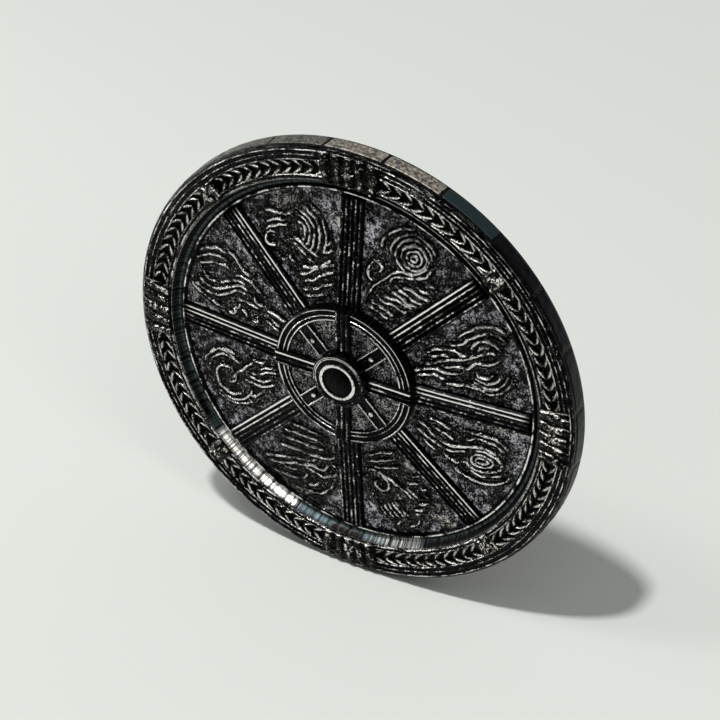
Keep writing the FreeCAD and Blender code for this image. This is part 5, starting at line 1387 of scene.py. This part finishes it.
class BuildStraps(bpy.types.Operator):
    """Forearm strap, its buckle and keeper, and the hand strap"""
    bl_idname = "shield.build_straps"
    bl_label = "Straps and buckle"

    def execute(self, context):
        pitch = context.scene.shield_sizes.stitch * 1000
        hide = finish("Strap leather")
        long_end = np.concatenate([
            rounded([(-86, FOOT_LEVEL), (-ARM_HALF, FOOT_LEVEL), (-ARM_HALF, -30)], 8, 6),
            rounded([(-ARM_HALF, -30), (-ARM_HALF, ARM_RUN), (-15.6, ARM_RUN)], 24, 10)[1:],
            rounded([(-15.6, ARM_RUN), (-0.4, -77.92), (13.0, -77.92), (22.0, -72.3), (47.0, -72.3)],
                    6, 6)[1:],
        ])
        short_end = np.concatenate([
            rounded([(86, FOOT_LEVEL), (ARM_HALF, FOOT_LEVEL), (ARM_HALF, -30)], 8, 6),
            rounded([(ARM_HALF, -30), (ARM_HALF, ARM_RUN), (BAR_PLACE, ARM_RUN)], 24, 10)[1:],
        ])
        fold = [(BAR_PLACE - FOLD_RADIUS * math.sin(t), BAR_LEVEL + FOLD_RADIUS * math.cos(t))
                for t in np.linspace(0, math.pi, 9)]
        folded = np.concatenate([short_end[:-1], fold, [(8.0, -73.2), (12.0, -71.4), (19.0, -70.9)]])
        hand = np.concatenate([
            rounded([(-92, FOOT_LEVEL), (-HAND_HALF, FOOT_LEVEL), (-HAND_HALF, -15)], 8, 6),
            rounded([(-HAND_HALF, -15), (-HAND_HALF, HAND_RUN), (0, HAND_RUN)], 22, 10)[1:],
            rounded([(0, HAND_RUN), (HAND_HALF, HAND_RUN), (HAND_HALF, -15)], 22, 10)[1:],
            rounded([(HAND_HALF, -15), (HAND_HALF, FOOT_LEVEL), (92, FOOT_LEVEL)], 8, 6)[1:],
        ])
        for name, node, path, step, place, width, thickness in (
                ("forearm_strap_long", "forearm_strap", long_end, 2.0, ARM_PLACE, ARM_WIDTH, 2.9),
                ("forearm_strap_short", "buckle_strap", folded, 1.6, ARM_PLACE, ARM_WIDTH, 2.7),
                ("hand_strap_stout", "hand_strap", hand, 2.0, HAND_PLACE, HAND_WIDTH, 2.9)):
            add_grid(name, strap_grid(dense(path, step), place, width, thickness), hide, "strap_leather",
                     closed=True, nodes=[node], sharp=60)
        lines = ((long_end, ARM_PLACE, 14.6), (short_end, ARM_PLACE, 14.6), (hand, HAND_PLACE, 6.8))
        grids = [grid for line, place, offset in lines for lift in (1.42, -1.42)
                 for grid in stitches(dense(line, 2.0), place, offset, lift, pitch, (5, 8))]
        add_grids("strap_stitches", grids, finish("Waxed linen thread"), "strap_leather", closed=True)
        self.keeper(hide)
        self.buckle()
        return {"FINISHED"}

    def keeper(self, hide):
        """Leather loop round the short end and the tail."""
        left, right = ARM_PLACE - KEEPER_HALF, ARM_PLACE + KEEPER_HALF
        loop = rounded([(ARM_PLACE, KEEPER_HIGH), (right, KEEPER_HIGH), (right, KEEPER_LOW),
                        (left, KEEPER_LOW), (left, KEEPER_HIGH), (ARM_PLACE + 0.001, KEEPER_HIGH)], 2.2, 5)
        line = dense(loop, 1.5)[:-1]
        ahead = np.roll(line, -1, 0) - np.roll(line, 1, 0)
        ahead /= np.linalg.norm(ahead, axis=1)[:, None]
        out = np.stack([ahead[:, 1], -ahead[:, 0]], -1)
        rows = []
        for y, distance in KEEPER_WALL:
            p = line + out * distance
            rows.append(np.stack([p[:, 0], np.full(len(p), y), p[:, 1]], -1))
        add_grid("strap_keeper_loop", np.array(rows + rows[:1]), hide, "strap_leather", closed=True,
                 nodes=["strap_keeper"])

    def buckle(self):
        """Forged frame on its round bar, and the prong that rests on it."""
        iron = finish("Forged iron, waxed")
        left, right = ARM_PLACE - FRAME_HALF, ARM_PLACE + FRAME_HALF
        turn = np.linspace(0, 2 * math.pi, TUBE_SIDES, endpoint=False)
        corners = [(left, BAR_PLACE), (left, FRAME_END), (right, FRAME_END), (right, BAR_PLACE)]
        line = dense(rounded(corners, 6.0, 7), 1.2)
        out = directions(line)[1]
        frame_rows = []
        for i in range(len(line)):
            r = 0.15 if i in (0, len(line) - 1) else 1.0
            p = line[i] + out[i] * (np.cos(turn)[:, None] * 2.0 * r)
            frame_rows.append(np.stack([p[:, 0], p[:, 1], BAR_LEVEL + 1.8 * r * np.sin(turn)], -1))
        ends = [(left + x, r) for x, r in BAR_ENDS] + [(right - x, r) for x, r in BAR_ENDS[::-1]]
        cos, sin = np.cos(turn), np.sin(turn)
        bar_rows = [np.stack([np.full(TUBE_SIDES, x), BAR_PLACE + r * cos, BAR_LEVEL + r * sin], -1)
                    for x, r in ends]
        frame_faces = grid_faces(len(frame_rows), TUBE_SIDES, closed=True)[:, ::-1]
        bar_faces = grid_faces(len(bar_rows), TUBE_SIDES, closed=True)
        points, faces = joined([(np.array(frame_rows), frame_faces), (np.array(bar_rows), bar_faces)])
        add_piece("buckle_frame_forged", points, faces, iron, "forged_iron", nodes=["buckle_frame"],
                  body="buckle_frame")
        eye = [(BAR_PLACE + PRONG_EYE * math.cos(t), BAR_LEVEL + PRONG_EYE * math.sin(t))
               for t in np.linspace(-0.6 * math.pi, 1.0 * math.pi, 16)]
        tongue = dense([*eye[::-1], *PRONG_LINE], 0.8)
        out = directions(tongue)[1]
        rows = []
        last = len(tongue) - 1
        for i in range(last + 1):
            r = 0.1 if i in (0, last) else 1.0 - 0.25 * (i / last)
            p = tongue[i] + out[i] * (np.sin(turn)[:, None] * (0.78 * r))
            rows.append(np.stack([ARM_PLACE + 1.75 * r * np.cos(turn), p[:, 0], p[:, 1]], -1))
        add_grid("buckle_prong_forged", np.array(rows), iron, "forged_iron", closed=True,
                 nodes=["buckle_prong"], body="buckle_prong")


# Forearm pad: its middle, half sizes, how square its outline is, and its sewn channels
PAD_PLACE, PAD_HALF_LENGTH, PAD_HALF_HEIGHT, PAD_POWER = 34, 100, 52, 4.5
PAD_CHANNELS, PAD_SPACING, SEAM_HALF, SEAM_LEVEL = (-50, 0, 50), 50, 45, 3.9
# Grip: half its length, its radius in the middle, how much thinner its ends are, and the wound strip's width
GRIP_HALF, GRIP_RADIUS, GRIP_TAPER, GRIP_STRIP = 37, 13.9, 2.3, 9.0


class BuildPad(bpy.types.Operator):
    """Stuffed forearm pad and the leather grip of the hand strap"""
    bl_idname = "shield.build_pad"
    bl_label = "Pad and grip"

    def execute(self, context):
        self.pad(context.scene.shield_sizes.stitch * 1000)
        self.grip()
        return {"FINISHED"}

    def pad(self, pitch):
        """Forearm pad: crowned, drawn in round its foot and sewn across in three channels."""
        u = np.linspace(-1, 1, 121)[:, None]
        v = np.linspace(-1, 1, 81)[None, :]
        square = np.maximum(np.abs(u), np.abs(v))
        reach = (np.abs(u) ** PAD_POWER + np.abs(v) ** PAD_POWER) ** (1 / PAD_POWER)
        draw = np.where(reach > 1e-6, square / np.maximum(reach, 1e-6), 1)
        x, y = PAD_HALF_LENGTH * u * draw, PAD_HALF_HEIGHT * v * draw
        crown = np.clip(1 - (square / 0.95) ** 3, 0, 1) ** 0.5
        piping = np.clip(1 - ((square - 0.965) / 0.032) ** 2, 0, 1) ** 0.5
        level = LINING - 8.6 * crown - 3.2 * piping
        for middle in PAD_CHANNELS:
            level = level + 4.2 * np.exp(-np.abs((x - middle) / 3.4) ** 1.3) * crown
        beside = np.mod(x + PAD_SPACING / 2, PAD_SPACING) - PAD_SPACING / 2
        pucker = 0.35 * np.sin(y / 3.4) * np.exp(-(beside / 8) ** 2) * crown
        level = np.clip(level + pucker + 0.3 * unevenness(x, y, 16, 95) * crown, -0.4, LINING)
        piece = add_grid("forearm_pad_stuffed", np.stack([x + PAD_PLACE, y, level], -1),
                         finish("Pad leather"), "pad_leather", flip=True, nodes=["arm_pad"], sharp=80)
        seam = np.stack([np.linspace(-SEAM_HALF, SEAM_HALF, 61), np.full(61, SEAM_LEVEL)], -1)
        grids = [grid for middle in PAD_CHANNELS
                 for grid in stitches(seam, middle + PAD_PLACE, 0.0, 0.4, pitch, (0, 0))]
        add_grids("pad_stitches", grids, finish("Waxed linen thread"), "pad_leather", closed=True)

    def grip(self):
        """Leather wound round a stuffed core: fuller in the middle, with the turns of the strip showing."""
        along = np.linspace(-GRIP_HALF, GRIP_HALF, 150)[:, None]
        turn = np.linspace(0, 2 * math.pi, 48, endpoint=False)[None, :]
        share = np.abs(along) / GRIP_HALF
        winding = np.mod(along / GRIP_STRIP + turn / (2 * math.pi), 1)
        radius = GRIP_RADIUS - GRIP_TAPER * share ** 2
        radius = radius - 0.75 * np.exp(-((winding - 0.5) / 0.09) ** 2) + 0.25 * winding
        radius = radius * np.sqrt(np.clip(1 - np.clip((share - 0.93) / 0.07, 0, 1) ** 2, 0.0, 1)) ** 0.7
        radius = np.maximum(radius, 0.3)
        grid = np.stack(np.broadcast_arrays(HAND_PLACE + radius * np.cos(turn), along,
                                            HAND_RUN + radius * np.sin(turn)), -1)
        piece = add_grid("hand_grip_wound", grid, finish("Strap leather"), "strap_leather", closed=True,
                         flip=True, nodes=["hand_grip"], sharp=80)


# Strap nails: their places as (x, y), a head's section from the middle outwards, and the level it sits on
NAIL_PLACES = [(place + side * 7, end * along) for place, along in ((ARM_PLACE, 77), (HAND_PLACE, 83))
               for side in (1, -1) for end in (1, -1)]
NAIL_SECTION = ((0.02, 2.55), (1.6, 2.4), (3.2, 1.9), (4.4, 1.1), (4.95, 0.3), (4.9, 0.0), (1.6, -0.1))
NAIL_LEVEL = 5.5
# Hanging rings: place of the middle, radius and the bar's radius
RING_PLACE, RING_RADIUS, RING_BAR = (128, 109, 0.5), 19, 2.5


class BuildForged(bpy.types.Operator):
    """Strap nails, hanging rings and their staples"""
    bl_idname = "shield.build_forged"
    bl_label = "Nails and rings"

    def execute(self, context):
        iron = finish("Forged iron, waxed")
        random = np.random.default_rng(17)
        grids = []
        for x, y in NAIL_PLACES:
            head = ring_points(NAIL_SECTION, 16, lambda r, h, a: np.where(h > 0.2, 0.18 * np.cos(
                5 * a + random.uniform(0, 6)) * r / 5, 0))
            head[..., 2] = NAIL_LEVEL - head[..., 2]
            grids.append(head + [x, y, 0])
        add_grids("nail_heads_forged", grids, iron, "forged_iron", closed=True, flip=True,
                  nodes=["strap_nails"], sharp=40)
        big = np.linspace(0, 2 * math.pi, 72, endpoint=False)[:, None]
        small = np.linspace(0, 2 * math.pi, 14, endpoint=False)[None, :]
        x, y, level = RING_PLACE
        for side, name in ((1, "left"), (-1, "right")):
            bar = RING_BAR * (1 + 0.05 * unevenness(big * RING_RADIUS, small * 2, 4, 101 + side))
            r = RING_RADIUS + bar * np.cos(small)
            high = level + bar * np.sin(small)
            grid = np.stack([side * x + r * np.cos(big), y + r * np.sin(big), high], -1)
            add_grid("hanging_ring_forged_" + name, np.concatenate([grid, grid[:1]]), iron, "forged_iron",
                     closed=True, nodes=["hanging_ring_" + name], body="ring_" + name)
        refinish("ring_staples", "Forged iron, waxed")
        return {"FINISHED"}


class ShieldPanel(bpy.types.Panel):
    """Buttons and values of the shield in the sidebar"""
    bl_idname = "VIEW3D_PT_shield"
    bl_label = "Shield"
    bl_space_type = "VIEW_3D"
    bl_region_type = "UI"
    bl_category = "Shield"

    def draw(self, context):
        layout = self.layout
        for values in (context.scene.shield_sizes, context.scene.shield_colours):
            for name in values.__annotations__:
                layout.prop(values, name)
        for operator in OPERATORS:
            layout.operator(operator.bl_idname)


OPERATORS = (BuildStage, BuildBoard, BuildRim, BuildSteps, BuildLaurel, BuildPlaques, BuildPanels, BuildRibs,
             BuildHub, BuildBoss, BuildPad, BuildStraps, BuildForged)
CLASSES = (ShieldSizes, ShieldColours, *OPERATORS, ShieldPanel)


def register():
    for item in CLASSES:
        bpy.utils.register_class(item)
    bpy.types.Scene.shield_sizes = PointerProperty(type=ShieldSizes)
    bpy.types.Scene.shield_colours = PointerProperty(type=ShieldColours)


def unregister():
    del bpy.types.Scene.shield_colours
    del bpy.types.Scene.shield_sizes
    for item in reversed(CLASSES):
        bpy.utils.unregister_class(item)


def main():
    """Registers the classes and builds every piece in order."""
    register()
    for operator in OPERATORS:
        group, name = operator.bl_idname.split(".")
        getattr(getattr(bpy.ops, group), name)()
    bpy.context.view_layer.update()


if __name__ == "__main__":
    main()
